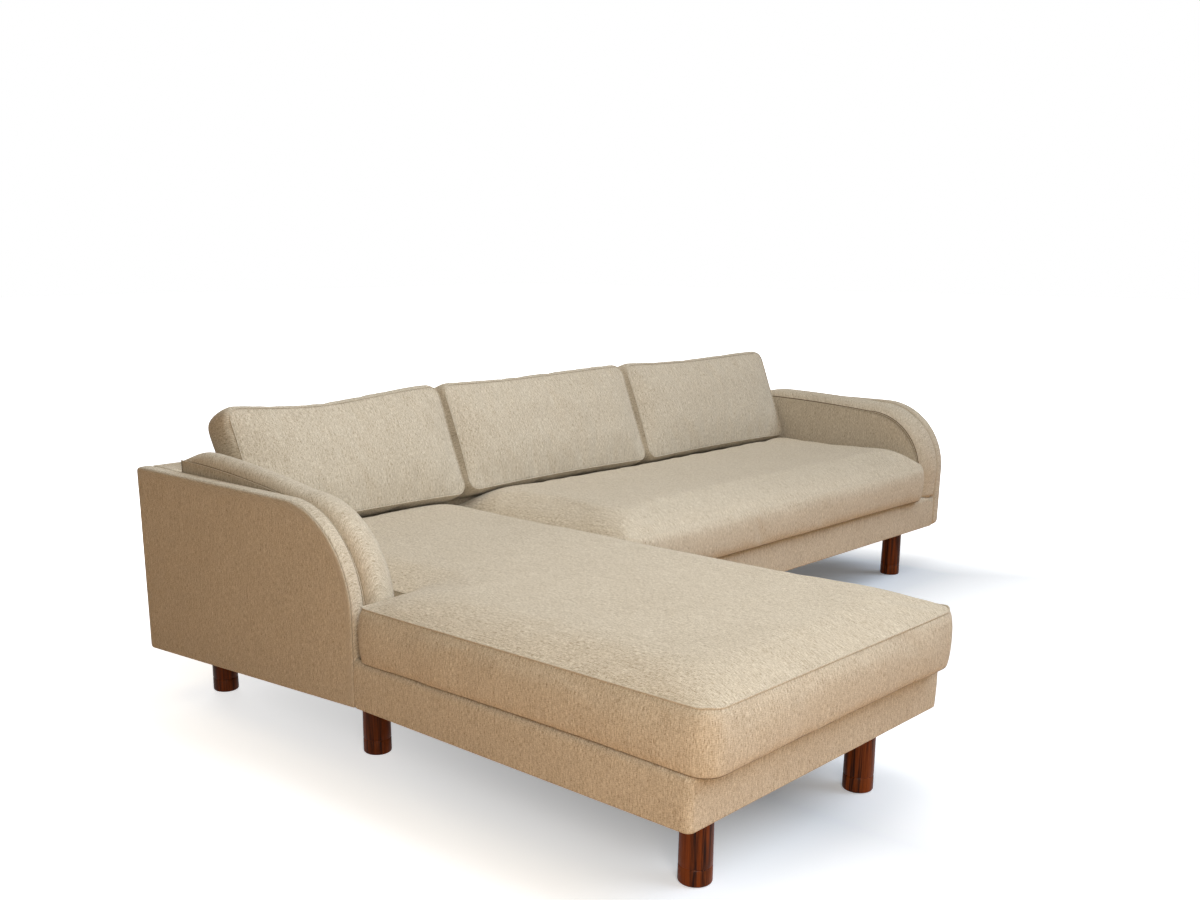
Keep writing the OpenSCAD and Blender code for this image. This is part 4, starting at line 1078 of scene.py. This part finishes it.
# Bench cushion
# One wide loose cushion under the two sofa seats, boxed as the chaise's but
# without a welt, and with a higher crown, steepest beside the right arm.
bench_low, bench_high = (-0.4433, 0.0402), (1.2124, 0.7208)
bench_profile = [(0.0, 1.0), (0.006, 0.968), (0.0112, 0.91), (0.0155, 0.82), (0.0175, 0.69), (0.018, 0.54),
                 (0.0178, 0.38), (0.0168, 0.23), (0.0148, 0.11), (0.012, 0.025), (0.009, -0.022),
                 (0.0065, -0.034), (0.0035, -0.02), (-0.001, -0.003), (-0.007, 0.0)]
bench_shape = cut(
    lines((bench_low[0], 0), (bench_high[0], 124)), lines((bench_low[1], 0), (bench_high[1], 52)),
    [(0, 0), (124, 0), (124, 52), (0, 52)], [],
    [(*bench_low, -1, -1, 0.03), (bench_high[0], bench_low[1], 1, -1, 0.045),
     (*bench_high, 1, 1, 0.035), (bench_low[0], bench_high[1], -1, 1, 0.035)])
bench_gaps = edge_gaps(bench_shape[0], bench_low, bench_high)
bench_gaps[1] = bench_gaps[1] * 2.2
bench_edge = bench_shape[0][bench_shape[2]]
bench_fullness = 1 + 0.1 * np.clip(ripple(bench_edge, 0.2, 6), -1, 1)
seat_cushion("bench_seat_cushion", "bench_cushion", "bench_seat", bench_shape, bench_gaps, 0.052, 21,
             bench_profile, bench_fullness, 0, 0.5, 0.003, 0.5)

# Back cushions
# Three loose feather and fibre cushions lean on the inside backs, boxed, with a
# soft crowned face and a welt round it. Their sides are drawn in a little.
lean = math.radians(22)
back_h = 0.348
back_t = 0.113
back_crown = 0.034
back_corner = 0.034
back_profile = [(0.0, 1.0), (0.0037, 0.985), (0.0072, 0.955), (0.0102, 0.905), (0.0124, 0.83), (0.0134, 0.7),
                (0.0134, 0.52), (0.0122, 0.34), (0.0094, 0.18), (0.005, 0.07), (-0.0015, 0.0)]


def back_cushion(name, node, body, low_x, high_x, lift, dips, seed, ear=0.0):
    """A back cushion is drawn lying down: X along its width, Y up its height, Z out to
    its face. The crown is 34 mm times (1 - |u|^5)(1 - |v|^3), u and v from -1 to 1.
    Sides are drawn in by 6 mm between the corners, and the top edge sags by dips. The
    border is fullest along the top, and by the share ear high on the left side."""
    width = high_x - low_x
    edge = 0.008
    columns = round(width / 0.0125)
    shape = cut(lines((edge, 0), (width - edge, columns)), lines((edge, 0), (back_h - edge, 28)),
                [(0, 0), (columns, 0), (columns, 28), (0, 28)], [],
                [(edge, edge, -1, -1, back_corner), (width - edge, edge, 1, -1, back_corner),
                 (width - edge, back_h - edge, 1, 1, back_corner), (edge, back_h - edge, -1, 1, back_corner)])
    plan = shape[0]
    u, v = 2 * plan[:, 0] / width - 1, 2 * plan[:, 1] / back_h - 1
    u0, v0 = np.clip(np.abs(u), 0, 1), np.clip(np.abs(v), 0, 1)
    sag = sum(depth * np.exp(-((plan[:, 0] - place * width) / (spread * width)) ** 2)
              for place, spread, depth in dips)
    plan[:, 0] -= 0.006 * u * (1 - v * v)
    plan[:, 1] -= 0.006 * v * (1 - u * u) + sag * np.clip((v + 1) / 2, 0, 1) ** 2
    uneven = 0.002 * ripple(plan, 0.25, seed) + 0.001 * ripple(plan, 0.09, seed + 1)
    face = back_t + back_crown * (1 - u0 ** 5) * (1 - v0 ** 3) + uneven * (1 - u0 ** 6) * (1 - v0 ** 6)
    seam_u, seam_v = u[shape[2]], v[shape[2]]
    fullness = 0.5 + 0.5 * np.clip((seam_v - 0.8) / 0.15, 0, 1)
    left_ear = np.clip((-0.9 - seam_u) / 0.06, 0, 1) * np.exp(-((seam_v - 0.62) / 0.42) ** 2)
    panels = boxed(shape, face, 0.0, back_profile, fullness + ear * left_ear)
    panels.append(seam_welt(np.column_stack([plan, face])[shape[2]], 0.0016))
    rear_z = seat_seam + lift
    rear_y = wedge_top - (arm_top - rear_z) * math.tan(lean) - 0.0003 / math.cos(lean)
    placed = []
    for points, places, cells in panels:
        x, y, z = points.T
        points = np.stack([low_x + x, rear_y + y * math.sin(lean) - z * math.cos(lean),
                           rear_z + y * math.cos(lean) + z * math.sin(lean)], -1)
        placed.append((points, places + seed, cells))
    piece = sewn(name, placed, body, fabric)
    # Painted shade darkens the seam round the welt.
    paint_seam_shade(piece.data, seam_points(piece.data) * 0.85)
    settled(piece, 4.0, 0.009, 0.006)
    finished(piece, 0.7, node)


back_cushion("left_back_pad", "left_back_cushion", "left_back", -1.209, -0.465, 0.0032,
             [(0.38, 0.33, 0.021)], 31, 0.7)
back_cushion("middle_back_pad", "middle_back_cushion", "middle_back", -0.461, 0.384, 0.0081,
             [(0.0, 0.3, 0.006), (0.35, 0.25, 0.005)], 32)
back_cushion("right_back_pad", "right_back_cushion", "right_back", 0.388, 1.223, 0.0081,
             [(0.4, 0.25, 0.004)], 33)


# Floor, lamps and surroundings
# A pale floor that keeps the sofa's soft shadow, under five wide plain lamps:
# overhead, ahead on the right, over the chaise, low on the left, and behind. The
# floor's camera-only glow is painted light, weak near the sofa. All else is white.
def lamp(name, kind, place, target, power, size, colour):
    """A lamp facing the target: a square AREA lamp of that size in metres, or a SUN
    whose light is spread over that many radians."""
    light = bpy.data.lights.new(name, kind)
    light.energy = power
    setattr(light, "size" if kind == "AREA" else "angle", size)
    light.color = colour
    holder = bpy.data.objects.new(name, light)
    bpy.context.scene.collection.objects.link(holder)
    gaze = np.array(target) - np.array(place)
    flat = math.hypot(gaze[0], gaze[1])
    holder.location = place
    holder.rotation_euler = (math.pi / 2 + math.atan2(gaze[2], flat), 0, math.atan2(-gaze[0], gaze[1]))


lamp("overhead lamp", "SUN", (0, 0, 4), (0, 0, 0), 0.8, 1.22, (1.0, 0.79, 0.52))
lamp("right lamp", "SUN", (2.6, -3.06, 4), (0, 0, 0), 1.74, 0.7, (0.745, 0.865, 1.0))
lamp("near lamp", "AREA", (-0.5, -0.85, 2.2), (0.5, 0.2, 0.45), 19.5, 1.4, (0.9, 0.94, 0.98))
lamp("left lamp", "AREA", (-3.0, -2.5, 1.5), (-1.4, -0.7, 0.3), 49, 1.2, (1.0, 0.92, 0.82))
lamp("rear lamp", "AREA", (0.3, 3.4, 1.3), (0, 0.9, 0.35), 34, 1.6, (1.0, 0.96, 0.9))

paper = Finish("pale floor")
paper_seen = paper.seen()
# Unseen by the camera the floor is orange, which warms the light it bounces onto the sofa.
paper_colour = paper.mixed(paper_seen, (0.75, 0.46, 0.23), (0.82, 0.86, 0.92))
paper_matt = paper.node("BsdfDiffuse", {}, {"Color": paper_colour})
paper_place = paper.node("TexCoord", out="Object")
paper_x, paper_y = paper.split(paper_place)[:2]
paper_reach = paper.node("VectorMath", {"operation": "DISTANCE"}, {0: paper_place, 1: (0.6, -0.9, 0)},
                         out="Value")
# The glow, seen only by the camera, is painted light: weak within 1.4 m of a point ahead of the bench,
# growing with distance from it, and raised ahead of the bench and right of the sofa. Where it is weak, the
# floor's darkening is partly painted shadow.
paper_ahead = paper.fitted(paper_x, -0.8, -0.3) * paper.fitted(paper_y, 0.0, -0.4)
paper_open = paper.maths("MAXIMUM", paper_ahead, paper.fitted(paper_x, 1.35, 1.6))
paper_painted_light = paper.fitted(paper_reach, 1.4, 2.1) * 0.43 + paper.fitted(paper_reach, 2.1, 3.6) * 0.45
paper_painted_light = paper_painted_light + 0.12 + paper_open * 0.35
paper_glow = paper.node("Emission", {}, {"Color": (1, 1, 1), "Strength": paper_seen * paper_painted_light})
paper.node("OutputMaterial", {}, {"Surface": paper.node("AddShader", {}, {0: paper_matt, 1: paper_glow})})
floor_mesh = bpy.data.meshes.new("floor")
floor_mesh.from_pydata([(-30, -30, 0), (30, -30, 0), (30, 30, 0), (-30, 30, 0)], [], [(0, 1, 2, 3)])
floor_mesh.materials.append(paper.material)
floor = bpy.data.objects.new("floor", floor_mesh)
bpy.context.scene.collection.objects.link(floor)

room = Finish("surroundings", bpy.data.worlds)
room_fill = room.node("Background", {}, {"Color": (1.0, 0.85, 0.66), "Strength": 0.02})
room_white = room.node("Background", {}, {"Color": (1, 1, 1), "Strength": 1})
room_all = room.node("MixShader", {}, {0: room.seen(), 1: room_fill, 2: room_white})
room.node("OutputWorld", {}, {"Surface": room_all})
bpy.context.scene.world = room.material

bpy.context.scene.view_settings.view_transform = "Standard"
